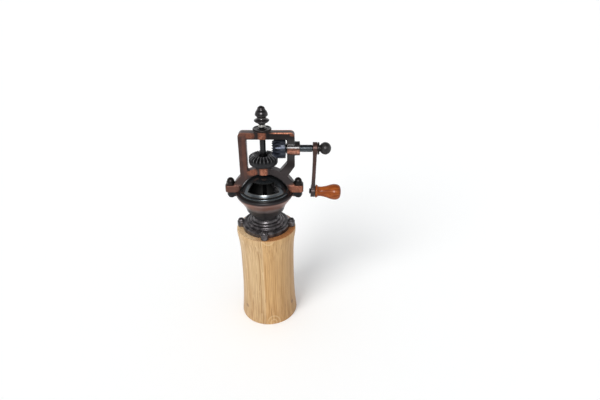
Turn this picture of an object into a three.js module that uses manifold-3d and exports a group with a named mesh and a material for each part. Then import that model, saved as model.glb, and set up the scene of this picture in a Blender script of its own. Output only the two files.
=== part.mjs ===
// Hand-cranked spice grinder: a turned oak body that carries a cast hopper, a domed lid with a
// sliding door, and a gear frame whose crank turns the burrs at the foot of the body.
// Millimetres, +Z up, crank towards +X, filling window towards -Y.

import * as THREE from 'three';
import { mergeVertices } from 'three/addons/utils/BufferGeometryUtils.js';
import Module from 'manifold-3d';

const wasm = await Module();
wasm.setup();

// Clearances
const fitGap = 0.3; // between a piece and the piece that carries it
const seatGap = 0.2; // between a spring's end and its seat
const overlap = 0.5; // how far joined shapes of one casting reach into each other
const cutRoom = 5; // how far a cutting shape reaches past the face it opens

// Facets
const largeSides = 32;
const mediumSides = 24;
const smallSides = 12;

// Turned oak body
const woodHeight = 113;
const woodFootRadius = 31.7;
const woodWaistRadius = 28.7;
const woodHeadRadius = 31.1;
const woodWaistHeight = 78;
const woodHeadHeight = 108;
const woodFootCurve = 3;
const woodHeadCurve = 2.2;
const woodEdgeRound = 0.7;
const woodCurveSteps = 5;
const chamberRadius = 19;
const recessRadius = 24;
const recessDepth = 8;

// Cast flange on top of the body
const flangeRadius = 24.7;
const flangeWall = 4.8;
const flangeShoulder = 2.2;
const shoulderBulge = 0.7; // share of the shoulder that is straight up before it turns in
const flangeBeads = [ // each one steps in from the one below it
  { step: 1.9, rise: 2.3 },
  { step: 3, rise: 2 },
  { step: 2.2, rise: 1.7 },
];
const beadRound = 0.7;
const beadGroove = 0.4;
const flangeSpigotDepth = 5;
const flangeSpigotWall = 2.7;
const throatRadius = 9.6;
const throatSeatDepth = 3;
const throatSeatWidth = 1.7;
const flangeLugRadius = 4.1;
const flangeLugCentre = 26.4;
const flangeLugHeight = 6.4;
const flangeLugs = 4;
const flangeScrewHead = { radius: 3.3, height: 2.9 };
const flangeScrewShank = { radius: 1.6, depth: 11 };
const roundHead = { side: 0.35, crownRadius: 0.75, crownRise: 0.8 }; // shares of a screw head's size

// Hopper bowl
const neckRadius = 13;
const neckHeight = 3.4;
const bowlHeight = 29.5;
const bowlFootRadius = 17.2;
const bowlFootEdge = 0.7;
const bowlHeel = { width: 2, rise: 3.2 };
const bowlFloorRise = 3.6;
const bowlWaistRadius = 21.3;
const bowlWaistRise = 11.4;
const bowlSwell = 0.6;
const bowlWall = 2.4;
const bowlMouthDraft = 0.9;
const rimRadius = 29;
const rimHeight = 2.9;
const rimOverhang = 1.3;
const rimCove = 0.6;
const rimBand = 1.2;
const rimRound = { foot: 0.3, top: 0.5 };
const rimLap = 2; // how far the rim's top reaches in under the lid's foot
const lugReach = 5;
const lugEnd = 4.2;
const lugHalfWidth = 4.7;
const lugDepth = 5;

// Domed lid, its window and the door that slides inside it
const rimLip = 3;
const footHeight = 1.6;
const footWidth = 0.6;
const footRound = { width: 0.5, rise: 0.3 };
const domeSink = 8.5;
const domeHeight = 18.2;
const domeWall = 1.5;
const domeSteps = 7;
const crownEdge = 0.3;
const windowHalfAngle = 46; // degrees
const windowSill = 5.3;
const windowHead = 13.7;
const windowHeadSlope = 0.55; // run for each unit of rise of the cut along the window's head
const collarWall = 1.3;
const collarDepth = 3.7;
const collarRoom = 0.8;
const doorGap = 0.4;
const doorWall = 1;
const doorMargin = 1.2;
const doorHubWidth = 3.4;
const doorHubFall = { top: 0.2, bottom: 0.1 };
const doorLead = 9.5; // degrees
const doorSideLap = 1.5; // degrees
const doorSteps = 10;
const clipGap = 0.1;
const clipWidth = 1.8;
const clipHeight = 0.8;
const clipFall = 0.2;
const doorKnobRadius = 1.5;
const doorKnobReach = 3.4;
const doorKnobSetback = 4.6; // degrees
const doorKnobOutline = [ // in knob radii, with the drop counted from the tip
  { radius: 0.55, drop: 1.6 },
  { radius: 1, drop: 0.9 },
  { radius: 0.8, drop: 0.3 },
];

// Gear frame: an arch over the dome and a portal round the gears
const frameDepth = 9;
const earHeight = 7.1;
const earHalfDepth = 5.5;
const earEnd = 5.3;
const earLap = 1.5;
const earRound = 2.4;
const archSideGap = 0.9;
const archTopGap = 1.5;
const archSideThickness = 8.3;
const archTopThickness = 6.4;
const archSteps = 18;
const leftPostWidth = 7.6;
const rightPostWidth = 7.5;
const topBarHeight = 6.8;
const frameCornerRadius = 4;
const windowCornerRadius = 1.4;
const kneeDrop = 14.2;
const kneeThickness = 3.2;
const kneeShift = 7.4;
const kneeFoot = 5;
const kneeLap = 3.2;
const gearSideRoom = 1.4;
const pinionHeadroom = 0.7;
const bossRadius = 8;
const topBossRise = 1.3;
const topBossDrop = 1.1;
const bearingRadius = 6.9;
const bearingReach = 5.1;
const nutSpotRoom = 0.5;

// Lug bolts and acorn nuts
const boltRadius = 2;
const boltHead = { radius: 3.5, height: 2.2, edge: 0.7 };
const nutRadius = 4.4;
const nutFlatHeight = 2.6;
const nutDomeRadius = 3.9;
const nutDomeSteps = 4;
const nutHeight = 7.2;
const boltEndInNut = 4;

// Bevel gears
const toothSize = 1.125;
const gearTeeth = 24;
const pinionTeeth = 16;
const pressureAngle = THREE.MathUtils.degToRad(20);
const backlash = 0.34;
const addendum = 0.95;
const dedendum = 1.3;
const toeScale = 0.68;
const gearRimRadius = 14.2;
const gearDepth = 10;
const gearChamfer = 2.3;
const gearRecessRadius = 6.9;
const gearRecessDepth = 3.6;
const gearFaceDrop = 1.2;
const gearLoftBore = 1.5; // narrower than the square bore that is cut into it
const pinionRimRadius = 9.6;
const pinionLength = 22;
const pinionChamfer = 0.6;
const pinionFaceRadius = 4.8;

// Upright shaft
const shaftRadius = 2.87;
const squareSide = 4;
const threadRadius = 2.4;
const footThreadRadius = 1.9;
const footThreadLength = 4.6;
const shaftEndHeight = 1.6;
const adjustTravel = 1; // how far the finial lifts or lowers the shaft
const shoulderRoom = 1.1; // left under the shaft's shoulder at its lowest

// Top washer, spring and finial nut
const washerRadius = 9;
const washerHeight = 2.2;
const washerDish = 0.5;
const washerRim = 1.3;
const washerSeat = { foot: 2, top: 1.4 }; // how far the spring's seat reaches past the coil
const finialSpring = { wire: 0.7, coilRadius: 3.1, curls: 2, pitch: 1.2 };
const finialRadius = 7.2;
const finialHeight = 17.2;
const finialNeck = { radius: 3.5, height: 0.8 };
const finialOutline = [ // shares of its radius and height
  { out: 0.764, up: 0.087 },
  { out: 1, up: 0.174 },
  { out: 0.986, up: 0.215 },
  { out: 0.681, up: 0.285 },
  { out: 0.653, up: 0.407 },
  { out: 0.847, up: 0.506 },
  { out: 0.806, up: 0.599 },
  { out: 0.667, up: 0.721 },
  { out: 0.514, up: 0.791 },
  { out: 0.472, up: 0.837 },
  { out: 0.465, up: 0.89 },
  { out: 0.278, up: 0.971 },
];
const shaftInFinial = 7;
const finialBoreRoom = 1.5;
const drillPoint = 1; // height of the cone at a drilled hole's end

// Crank
const shaftCollar = { radius: 5, length: 0.7 };
const crankShaftRadius = 3.35;
const crankShaftReach = 12;
const crankEndRadius = 2.4;
const shaftInPinion = 11.5;
const armEyeRadius = 6.1;
const armThickness = 4.4;
const armWaistThickness = 3.7;
const armTopWidth = 8.6;
const armFootWidth = 7.2;
const armLength = 46.5;
const armLean = 1.5;
const armLeanCurve = 1.5;
const armSwell = 0.8; // share of its full thickness that it has again at each end
const armSquareness = 0.6; // 1 is an oval section, 0 a square one
const armSteps = 6;
const armSides = 12;
const footEyeRadius = 6;
const knobDroop = THREE.MathUtils.degToRad(2.5);
const armWasher = { radius: 6, length: 1.6, edge: 0.3 };
const ballNeck = { radius: 3.3, length: 0.7 };
const ballHalfLength = 5.7;
const ballRadius = 6.05;
const ballSteps = 9;
const pinRadius = 1.9;
const pinHead = { radius: 2.9, length: 1.3, edge: 0.65 };
const pinLength = 22;
const knobRadius = 8;
const knobLength = 25.9;
const knobOutline = [ // shares of its radius and length
  { out: 0.812, along: 0.015 },
  { out: 0.825, along: 0.062 },
  { out: 0.65, along: 0.108 },
  { out: 0.612, along: 0.247 },
  { out: 0.738, along: 0.425 },
  { out: 0.925, along: 0.602 },
  { out: 1, along: 0.749 },
  { out: 0.95, along: 0.873 },
  { out: 0.7, along: 0.961 },
];
const knobBoreRoom = 1;

// Burrs at the foot of the body
const burrFlangeHeight = 2.5;
const burrHeight = 16.5;
const burrMouthRadius = 16.2;
const burrTopRadius = 13;
const burrToothDepth = 0.8;
const burrGap = 0.9;
const innerBurrTopRadius = 8.4;
const burrLoftBore = 1.5; // narrower than the square bore that is cut into it
const outerBurrTeeth = 20;
const innerBurrTeeth = 16;
const burrTwist = THREE.MathUtils.degToRad(14);
const innerBurrDrop = 1;
const innerBurrHeight = 10.5;
const crushHeight = 4;
const bridgeHeight = 2;
const bridgeRimWidth = 3.7;
const bridgeBarHalfWidth = 2.6;
const bridgeHubRadius = 4.8;
const burrSpring = { wire: 0.8, coilRadius: 4, curls: 3, pitch: 1.25 };
const burrScrews = 3;
const burrScrewCentre = (chamberRadius + recessRadius) / 2;
const burrScrewHead = { radius: 1.9, height: 1.5 };
const burrScrewShank = { radius: 1.1, depth: 8 };
const burrNut = { radius: 4.4, height: 2.2 };

// Heights and distances that follow from the sizes above
const beadTotal = flangeBeads.reduce((sum, bead) => sum + bead.rise, 0);
const flangeHeight = flangeWall + flangeShoulder + beadTotal;
const bowlSeat = woodHeight + flangeHeight;
const rimTop = bowlSeat + bowlHeight;
const footRadius = rimRadius - rimLip;
const domeRadius = footRadius - footWidth;
const domeRise = domeSink + domeHeight;
const boltOffset = rimRadius + lugReach;
const earTop = rimTop + earHeight;
const archInner = { side: domeRadius + archSideGap, rise: domeRise + archTopGap };
const archOuter = { side: archInner.side + archSideThickness, rise: archInner.rise + archTopThickness };
const archTop = rimTop - domeSink + archOuter.rise;
const gearCone = Math.atan(gearTeeth / pinionTeeth);
const pinionCone = Math.PI / 2 - gearCone;
const crankHeight = archTop + fitGap + pitchDepth(gearTeeth, gearCone) + gearDepth;
const windowTop = crankHeight + pinionRimRadius + pinionHeadroom;
const topBossTop = windowTop + topBarHeight + topBossRise;
const washerTop = topBossTop + washerHeight;
const finialBase = washerTop + 2 * seatGap + springHeight(finialSpring);
const windowLeft = -(gearRimRadius + gearSideRoom);
const windowRight = pinionLength + fitGap + shaftCollar.length + fitGap;
const bearingEnd = windowRight + rightPostWidth + bearingReach;
const armStart = bearingEnd + crankShaftReach + fitGap;
const armCentre = armStart + armThickness / 2;
const burrFoot = recessDepth - burrFlangeHeight;
const burrTop = burrFoot + burrHeight;
const innerBurrFoot = burrFoot - innerBurrDrop;
const burrSlope = (burrMouthRadius - burrTopRadius) / burrHeight;

// Depth of the pitch circle below the point where the two gear axes cross
function pitchDepth(teeth, cone) {
  return (toothSize * teeth) / 2 / Math.tan(cone);
}

// Length of a spring, with a straight end of one wire diameter at each side
function springHeight(spring) {
  return spring.curls * spring.pitch + 2 * spring.wire;
}

// Radius of the body's outside at a height
function woodRadius(height) {
  if (height < woodWaistHeight) {
    const fall = 1 - height / woodWaistHeight;
    return woodWaistRadius + (woodFootRadius - woodWaistRadius) * fall ** woodFootCurve;
  }
  const climb = Math.min(1, (height - woodWaistHeight) / (woodHeadHeight - woodWaistHeight));
  return woodWaistRadius + (woodHeadRadius - woodWaistRadius) * climb ** woodHeadCurve;
}

// A closed geometry with shared vertices, no collapsed triangles and its faces pointing out
function welded(geometry) {
  const bare = geometry.index ? geometry.toNonIndexed() : geometry.clone();
  bare.deleteAttribute('normal');
  bare.deleteAttribute('uv');
  const merged = mergeVertices(bare, 1e-4);
  const index = merged.index.array;
  const place = merged.attributes.position;
  const kept = [];
  let volume = 0;
  const a = new THREE.Vector3();
  const b = new THREE.Vector3();
  const c = new THREE.Vector3();
  for (let i = 0; i < index.length; i += 3) {
    const [p, q, r] = [index[i], index[i + 1], index[i + 2]];
    if (p === q || q === r || r === p) continue;
    kept.push(p, q, r);
    a.fromBufferAttribute(place, p);
    b.fromBufferAttribute(place, q);
    c.fromBufferAttribute(place, r);
    volume += a.dot(b.cross(c));
  }
  if (volume < 0) kept.reverse();
  const result = new THREE.BufferGeometry();
  result.setAttribute('position', place);
  result.setIndex(kept);
  return result;
}

function toSolid(geometry) {
  const closed = welded(geometry);
  return new wasm.Manifold(new wasm.Mesh({
    numProp: 3,
    vertProperties: new Float32Array(closed.attributes.position.array),
    triVerts: new Uint32Array(closed.index.array),
  }));
}

function toGeometry(solid) {
  const mesh = solid.getMesh();
  const geometry = new THREE.BufferGeometry();
  geometry.setAttribute('position', new THREE.BufferAttribute(new Float32Array(mesh.vertProperties), 3));
  geometry.setIndex(new THREE.BufferAttribute(new Uint32Array(mesh.triVerts), 1));
  return geometry;
}

// One body made of several shapes, less the shapes that cut it
function combine(added, removed = []) {
  let solid = toSolid(added[0]);
  for (const shape of added.slice(1)) solid = solid.add(toSolid(shape));
  for (const shape of removed) solid = solid.subtract(toSolid(shape));
  return toGeometry(solid);
}

// A profile of [radius, height] points turned round the Z axis
function turned(profile, sides) {
  const points = profile.map(([radius, height]) => new THREE.Vector2(radius, height));
  if (points[0].x > 0) points.push(points[0].clone());
  return new THREE.LatheGeometry(points, sides).rotateX(Math.PI / 2);
}

// The same, turned round the X axis with heights running along +X
function turnedAlongX(profile, sides) {
  return turned(profile, sides).rotateY(Math.PI / 2);
}

function disc(radius, from, to, sides) {
  return turned([[0, from], [radius, from], [radius, to], [0, to]], sides);
}

function discAlongX(radius, from, to, sides) {
  return turnedAlongX([[0, from], [radius, from], [radius, to], [0, to]], sides);
}

function block(xFrom, xTo, yFrom, yTo, zFrom, zTo) {
  const box = new THREE.BoxGeometry(xTo - xFrom, yTo - yFrom, zTo - zFrom);
  return box.translate((xFrom + xTo) / 2, (yFrom + yTo) / 2, (zFrom + zTo) / 2);
}

// A flat outline in X and Z, given its depth in Y about the middle plane
function upright(shape, depth, curveSegments) {
  const settings = { depth, bevelEnabled: false, curveSegments };
  const slab = new THREE.ExtrudeGeometry(shape, settings);
  return slab.rotateX(Math.PI / 2).translate(0, depth / 2, 0);
}

// A flat outline in X and Y, raised from one height to another
function raised(shape, from, to, curveSegments) {
  const settings = { depth: to - from, bevelEnabled: false, curveSegments };
  return new THREE.ExtrudeGeometry(shape, settings).translate(0, 0, from);
}

// Sections of equal point count joined in turn; an open run is closed by flat caps
function lofted(sections, isRing) {
  const size = sections[0].length;
  const positions = sections.flat().flatMap((point) => point.toArray());
  const index = [];
  const runs = isRing ? sections.length : sections.length - 1;
  for (let i = 0; i < runs; i += 1) {
    const next = (i + 1) % sections.length;
    for (let j = 0; j < size; j += 1) {
      const side = (j + 1) % size;
      index.push(i * size + j, i * size + side, next * size + side);
      index.push(i * size + j, next * size + side, next * size + j);
    }
  }
  if (!isRing) {
    const last = (sections.length - 1) * size;
    for (const [p, q, r] of capTriangles(sections[0])) {
      index.push(r, q, p);
    }
    for (const [p, q, r] of capTriangles(sections[sections.length - 1])) {
      index.push(last + p, last + q, last + r);
    }
  }
  const geometry = new THREE.BufferGeometry();
  geometry.setAttribute('position', new THREE.Float32BufferAttribute(positions, 3));
  geometry.setIndex(index);
  return welded(geometry);
}

// Triangles over a flat loop of points, whichever way the loop's plane leans
function capTriangles(loop) {
  const along = loop[1].clone().sub(loop[0]).normalize();
  const normal = new THREE.Vector3();
  for (let i = 0; i < loop.length; i += 1) {
    normal.add(loop[i].clone().cross(loop[(i + 1) % loop.length]));
  }
  normal.normalize();
  const across = normal.clone().cross(along);
  const flat = loop.map((point) => new THREE.Vector2(point.dot(along), point.dot(across)));
  return THREE.ShapeUtils.triangulateShape(flat, []);
}

// A [radius, height] profile swept round Z between two angles counted from -Y towards +X
function swept(profile, fromAngle, toAngle, steps) {
  const sections = [];
  for (let i = 0; i <= steps; i += 1) {
    const angle = THREE.MathUtils.degToRad(fromAngle + ((toAngle - fromAngle) * i) / steps);
    sections.push(profile.map(([radius, height]) => (
      new THREE.Vector3(radius * Math.sin(angle), -radius * Math.cos(angle), height))));
  }
  return lofted(sections, false);
}

// Points of the ellipse that the dome and the arch follow, from one height to another
function ellipsePoints(side, rise, fromHeight, toHeight, steps) {
  const fromAngle = Math.asin((fromHeight + domeSink) / rise);
  const toAngle = Math.asin(Math.min(1, (toHeight + domeSink) / rise));
  const points = [];
  for (let i = 0; i <= steps; i += 1) {
    const angle = fromAngle + ((toAngle - fromAngle) * i) / steps;
    points.push([side * Math.cos(angle), rise * Math.sin(angle) - domeSink]);
  }
  return points;
}

// Radius of such an ellipse at a height above the rim
function ellipseRadius(side, rise, height) {
  return side * Math.sqrt(1 - ((height + domeSink) / rise) ** 2);
}

// Height of such an ellipse above the rim at a distance from the middle
function ellipseHeight(side, rise, distance) {
  return rise * Math.sqrt(1 - (distance / side) ** 2) - domeSink;
}

function castMaterial(color, roughness, metalness) {
  return new THREE.MeshStandardMaterial({ color, roughness, metalness });
}

const oak = castMaterial(0xc79a63, 0.6, 0);
const copperBronze = castMaterial(0x5a3a2c, 0.45, 0.8);
const darkBronze = castMaterial(0x2b2422, 0.4, 0.8);
const glossBlack = castMaterial(0x101114, 0.15, 0.5);
const gearBlack = castMaterial(0x191a1e, 0.55, 0.6);
const brightSteel = castMaterial(0xb4b6b8, 0.3, 0.9);
const burrSteel = castMaterial(0x6d6f72, 0.45, 0.9);
const knobWood = castMaterial(0xb5562a, 0.3, 0);

function piece(name, geometry, material, height = 0) {
  const mesh = new THREE.Mesh(geometry, material);
  mesh.name = name;
  mesh.position.z = height;
  return mesh;
}

// Places for a number of fasteners on a circle, the first one at the front
function circlePlaces(radius, count) {
  const places = [];
  for (let i = 0; i < count; i += 1) {
    const angle = (i * 2 * Math.PI) / count - Math.PI / 2;
    places.push([radius * Math.cos(angle), radius * Math.sin(angle)]);
  }
  return places;
}

const flangePlaces = circlePlaces(flangeLugCentre, flangeLugs);
const burrScrewPlaces = circlePlaces(burrScrewCentre, burrScrews);

function woodBody() {
  const outside = [];
  const top = woodHeight - woodEdgeRound;
  for (let i = 0; i <= woodCurveSteps; i += 1) {
    const height = woodEdgeRound + ((woodWaistHeight - woodEdgeRound) * i) / woodCurveSteps;
    outside.push([woodRadius(height), height]);
  }
  for (let i = 1; i <= woodCurveSteps; i += 1) {
    const height = woodWaistHeight + ((woodHeadHeight - woodWaistHeight) * i) / woodCurveSteps;
    outside.push([woodRadius(height), height]);
  }
  const profile = [
    [recessRadius, 0],
    [woodFootRadius - woodEdgeRound, 0],
    ...outside,
    [woodHeadRadius, top],
    [woodHeadRadius - woodEdgeRound, woodHeight],
    [chamberRadius, woodHeight],
    [chamberRadius, recessDepth],
    [recessRadius, recessDepth],
  ];
  const pilots = [];
  for (const [x, y] of flangePlaces) {
    const radius = flangeScrewShank.radius + fitGap;
    const floor = woodHeight - flangeScrewShank.depth - fitGap;
    pilots.push(disc(radius, floor, woodHeight + cutRoom, smallSides).translate(x, y, 0));
  }
  for (const [x, y] of burrScrewPlaces) {
    const radius = burrScrewShank.radius + fitGap;
    const roof = recessDepth + burrScrewShank.depth + fitGap;
    pilots.push(disc(radius, 0, roof, smallSides).translate(x, y, 0));
  }
  return combine([turned(profile, largeSides)], pilots);
}

function baseFlange() {
  const shoulderRadius = flangeRadius - flangeShoulder;
  const shoulderTop = flangeWall + flangeShoulder;
  const profile = [
    [chamberRadius - fitGap - flangeSpigotWall, -flangeSpigotDepth],
    [chamberRadius - fitGap, -flangeSpigotDepth],
    [chamberRadius - fitGap, 0],
    [flangeRadius, 0],
    [flangeRadius, flangeWall],
    [flangeRadius - flangeShoulder * (1 - shoulderBulge), flangeWall + flangeShoulder * shoulderBulge],
    [shoulderRadius, shoulderTop],
  ];
  let height = shoulderTop;
  let radius = shoulderRadius;
  for (const bead of flangeBeads) {
    radius -= bead.step;
    profile.push([radius + beadGroove, height - beadGroove]);
    height += bead.rise;
    profile.push([radius, height - beadRound]);
    profile.push([radius - beadRound, height]);
  }
  profile.push([throatRadius + throatSeatWidth, flangeHeight]);
  profile.push([throatRadius + throatSeatWidth, flangeHeight - throatSeatDepth]);
  profile.push([throatRadius, flangeHeight - throatSeatDepth]);
  profile.push([throatRadius, shoulderTop]);
  profile.push([chamberRadius - fitGap - flangeSpigotWall, 0]);
  const lugs = flangePlaces.map(([x, y]) => (
    disc(flangeLugRadius, 0, flangeLugHeight, smallSides).translate(x, y, 0)));
  const holes = [];
  for (const [x, y] of flangePlaces) {
    const top = flangeLugHeight + cutRoom;
    holes.push(disc(flangeScrewShank.radius + fitGap, -cutRoom, top, smallSides).translate(x, y, 0));
    holes.push(disc(flangeScrewHead.radius + fitGap, flangeLugHeight, top, smallSides).translate(x, y, 0));
  }
  return combine([turned(profile, largeSides), ...lugs], holes);
}

function roundHeadScrew(head, shank) {
  return turned([
    [0, -shank.depth],
    [shank.radius, -shank.depth],
    [shank.radius, 0],
    [head.radius, 0],
    [head.radius, head.height * roundHead.side],
    [head.radius * roundHead.crownRadius, head.height * roundHead.crownRise],
    [0, head.height],
  ], smallSides);
}

function hopperBowl() {
  const rimFoot = bowlHeight - rimHeight;
  const wallRadius = rimRadius - rimOverhang;
  const profile = [
    [throatRadius, -throatSeatDepth + fitGap],
    [throatRadius + throatSeatWidth - fitGap, -throatSeatDepth + fitGap],
    [throatRadius + throatSeatWidth - fitGap, 0],
    [neckRadius, 0],
    [neckRadius, neckHeight],
    [bowlFootRadius, neckHeight + bowlFootEdge],
    [bowlFootRadius + bowlHeel.width, neckHeight + bowlHeel.rise],
    [bowlWaistRadius, bowlWaistRise],
    [(bowlWaistRadius + wallRadius) / 2 + bowlSwell, (bowlWaistRise + rimFoot) / 2],
    [wallRadius, rimFoot - rimCove],
    [rimRadius - rimRound.foot, rimFoot],
    [rimRadius, rimFoot + rimBand],
    [rimRadius - rimRound.top, bowlHeight],
    [footRadius - rimLap, bowlHeight],
    [wallRadius - bowlWall - bowlMouthDraft, rimFoot],
    [bowlWaistRadius - bowlWall, bowlWaistRise + bowlSwell],
    [bowlFootRadius - bowlWall, neckHeight + bowlFloorRise],
    [throatRadius, neckHeight],
  ];
  const lugs = [];
  const holes = [];
  for (const side of [-1, 1]) {
    const bar = new THREE.Shape();
    const inner = rimRadius - rimLip;
    bar.moveTo(inner, -lugHalfWidth);
    bar.lineTo(boltOffset, -lugHalfWidth);
    bar.absellipse(boltOffset, 0, lugEnd, lugHalfWidth, -Math.PI / 2, Math.PI / 2, false, 0);
    bar.lineTo(inner, lugHalfWidth);
    const lug = raised(bar, bowlHeight - lugDepth, bowlHeight, 8);
    lugs.push(side > 0 ? lug : lug.rotateZ(Math.PI));
    const lugFoot = bowlHeight - lugDepth;
    const hole = disc(boltRadius + fitGap, lugFoot - cutRoom, bowlHeight + cutRoom, smallSides);
    holes.push(hole.translate(side * boltOffset, 0, 0));
  }
  return combine([turned(profile, largeSides), ...lugs], holes);
}

// The dome's outline above the rim, made thinner or smaller by an inset
function domeShell(inset, fromHeight, toHeight, steps) {
  return ellipsePoints(domeRadius - inset, domeRise - inset, fromHeight, toHeight, steps);
}

const collarInner = shaftRadius + collarRoom;
const collarOuter = collarInner + collarWall;

function domeCover() {
  const crown = domeHeight - crownEdge;
  const outside = domeShell(0, footHeight, crown, domeSteps);
  const inside = domeShell(domeWall, 0, crown - domeWall, domeSteps).reverse();
  const profile = [
    [footRadius, 0],
    [footRadius, footHeight - footRound.rise],
    [footRadius - footRound.width, footHeight],
    ...outside,
    [collarInner, domeHeight],
    [collarInner, domeHeight - domeWall - collarDepth],
    [collarOuter, domeHeight - domeWall - collarDepth],
    [collarOuter, ellipseHeight(domeRadius - domeWall, domeRise - domeWall, collarOuter)],
    ...inside,
  ];
  const reach = cutRoom + domeWall;
  const headRadius = ellipseRadius(domeRadius, domeRise, windowHead);
  const window = swept([
    [ellipseRadius(domeRadius - domeWall, domeRise - domeWall, windowSill) - reach, windowSill],
    [domeRadius + reach, windowSill],
    [domeRadius + reach, domeHeight + reach],
    [headRadius + reach * windowHeadSlope, windowHead + reach],
    [headRadius, windowHead],
    [headRadius - reach * windowHeadSlope, windowHead - reach],
  ], -windowHalfAngle, windowHalfAngle, doorSteps);
  return combine([turned(profile, largeSides)], [window]);
}

function domeDoor() {
  const outerInset = domeWall + doorGap;
  const innerInset = outerInset + doorWall;
  const low = windowSill - doorMargin;
  const hubRadius = collarOuter + fitGap + doorHubWidth;
  const hubOuterHeight = ellipseHeight(domeRadius - outerInset, domeRise - outerInset, hubRadius);
  const outside = domeShell(outerInset, low, hubOuterHeight, domeSteps);
  const inside = domeShell(innerInset, low, hubOuterHeight - doorWall, domeSteps).reverse();
  const leafStart = windowHalfAngle - doorLead;
  const leafEnd = leafStart + 2 * (windowHalfAngle + doorSideLap);
  const leaf = swept([...outside, ...inside], leafStart, leafEnd, doorSteps);
  const holeHeight = ellipseHeight(domeRadius - outerInset, domeRise - outerInset, collarOuter + fitGap);
  const hub = turned([
    [collarOuter + fitGap, holeHeight],
    [collarOuter + fitGap, holeHeight - doorWall],
    [hubRadius + overlap, hubOuterHeight - doorWall - doorHubFall.bottom],
    [hubRadius + overlap, hubOuterHeight - doorHubFall.top],
  ], mediumSides);
  return combine([leaf, hub]);
}

function doorClip() {
  const inset = domeWall + doorGap;
  const edge = ellipseHeight(domeRadius - inset, domeRise - inset, collarOuter + clipWidth);
  const top = edge - doorWall - fitGap;
  return turned([
    [collarOuter + clipGap, top - clipHeight],
    [collarOuter + clipWidth, top - clipHeight],
    [collarOuter + clipWidth, top - clipFall],
    [collarOuter + clipGap, top],
  ], mediumSides);
}

// A small round knob that stands square to the door, inside the dome's window
function doorKnob() {
  const knob = turned([
    [0, 0],
    [doorKnobRadius * doorKnobOutline[0].radius, 0],
    ...doorKnobOutline.map(({ radius, drop }) => (
      [doorKnobRadius * radius, doorKnobReach - doorKnobRadius * drop])),
    [0, doorKnobReach],
  ], smallSides);
  const height = (windowSill + windowHead) / 2;
  const side = domeRadius - domeWall - doorGap;
  const rise = domeRise - domeWall - doorGap;
  const radius = ellipseRadius(side, rise, height);
  const slope = Math.atan2(radius / side ** 2, (height + domeSink) / rise ** 2);
  const angle = THREE.MathUtils.degToRad(windowHalfAngle - doorKnobSetback);
  knob.translate(0, 0, fitGap);
  knob.rotateX(slope);
  knob.translate(0, -radius, height);
  knob.rotateZ(angle);
  return knob;
}

// The frame's sizes below are heights above the rim, where its ears stand
const frameWindowTop = windowTop - rimTop;
const frameCrankHeight = crankHeight - rimTop;
const frameRight = windowRight + rightPostWidth;
const frameLeft = windowLeft - leftPostWidth;

function portalShape() {
  const top = frameWindowTop + topBarHeight;
  const corner = frameCornerRadius;
  const inner = windowCornerRadius;
  const innerKnee = frameCrankHeight - kneeDrop;
  const knee = innerKnee - kneeThickness;
  const archMiddle = (archInner.rise + archOuter.rise) / 2;
  const archSide = (archInner.side + archOuter.side) / 2;
  const inArch = (x) => ellipseHeight(archSide, archMiddle, x);
  const onArch = (x) => ellipseHeight(archOuter.side, archOuter.rise, x);
  const outerFoot = frameRight - kneeShift;
  const innerFoot = windowRight - kneeShift;
  const portal = new THREE.Shape();
  portal.moveTo(frameLeft, inArch(frameLeft));
  portal.lineTo(frameLeft, top - corner);
  portal.absarc(frameLeft + corner, top - corner, corner, Math.PI, Math.PI / 2, true);
  portal.lineTo(frameRight - corner, top);
  portal.absarc(frameRight - corner, top - corner, corner, Math.PI / 2, 0, true);
  portal.lineTo(frameRight, knee);
  portal.lineTo(outerFoot, onArch(outerFoot));
  portal.lineTo(outerFoot - kneeFoot, inArch(outerFoot - kneeFoot));
  portal.lineTo(innerFoot, onArch(innerFoot) - kneeLap);
  portal.lineTo(innerFoot, onArch(innerFoot));
  portal.lineTo(windowRight, innerKnee);
  portal.lineTo(windowRight, frameWindowTop - inner);
  portal.absarc(windowRight - inner, frameWindowTop - inner, inner, 0, Math.PI / 2, false);
  portal.lineTo(windowLeft + inner, frameWindowTop);
  portal.absarc(windowLeft + inner, frameWindowTop - inner, inner, Math.PI / 2, Math.PI, false);
  portal.lineTo(windowLeft, inArch(windowLeft));
  return portal;
}

function archShape() {
  const lip = footHeight + fitGap;
  const inner = ellipsePoints(archInner.side, archInner.rise, lip, archInner.rise - domeSink, archSteps);
  const outer = ellipsePoints(archOuter.side, archOuter.rise, lip, archOuter.rise - domeSink, archSteps);
  const half = [...outer, ...inner.reverse()];
  const right = half.slice(0, outer.length - 1);
  const rightInner = half.slice(outer.length + 1);
  const arch = new THREE.Shape();
  arch.moveTo(right[0][0], right[0][1]);
  for (const [x, z] of right.slice(1)) arch.lineTo(x, z);
  arch.lineTo(0, outer[outer.length - 1][1]);
  for (const [x, z] of [...right].reverse()) arch.lineTo(-x, z);
  for (const [x, z] of [...rightInner].reverse()) arch.lineTo(-x, z);
  arch.lineTo(0, archInner.rise - domeSink);
  for (const [x, z] of rightInner) arch.lineTo(x, z);
  return arch;
}

// One ear of the frame, seen from above, with round outer corners
function earShape() {
  const inner = footRadius - earLap;
  const outer = boltOffset + earEnd;
  const ear = new THREE.Shape();
  ear.moveTo(inner, -earHalfDepth);
  ear.lineTo(outer - earRound, -earHalfDepth);
  ear.absarc(outer - earRound, -earHalfDepth + earRound, earRound, -Math.PI / 2, 0, false);
  ear.lineTo(outer, earHalfDepth - earRound);
  ear.absarc(outer - earRound, earHalfDepth - earRound, earRound, 0, Math.PI / 2, false);
  ear.lineTo(inner, earHalfDepth);
  return ear;
}

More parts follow.
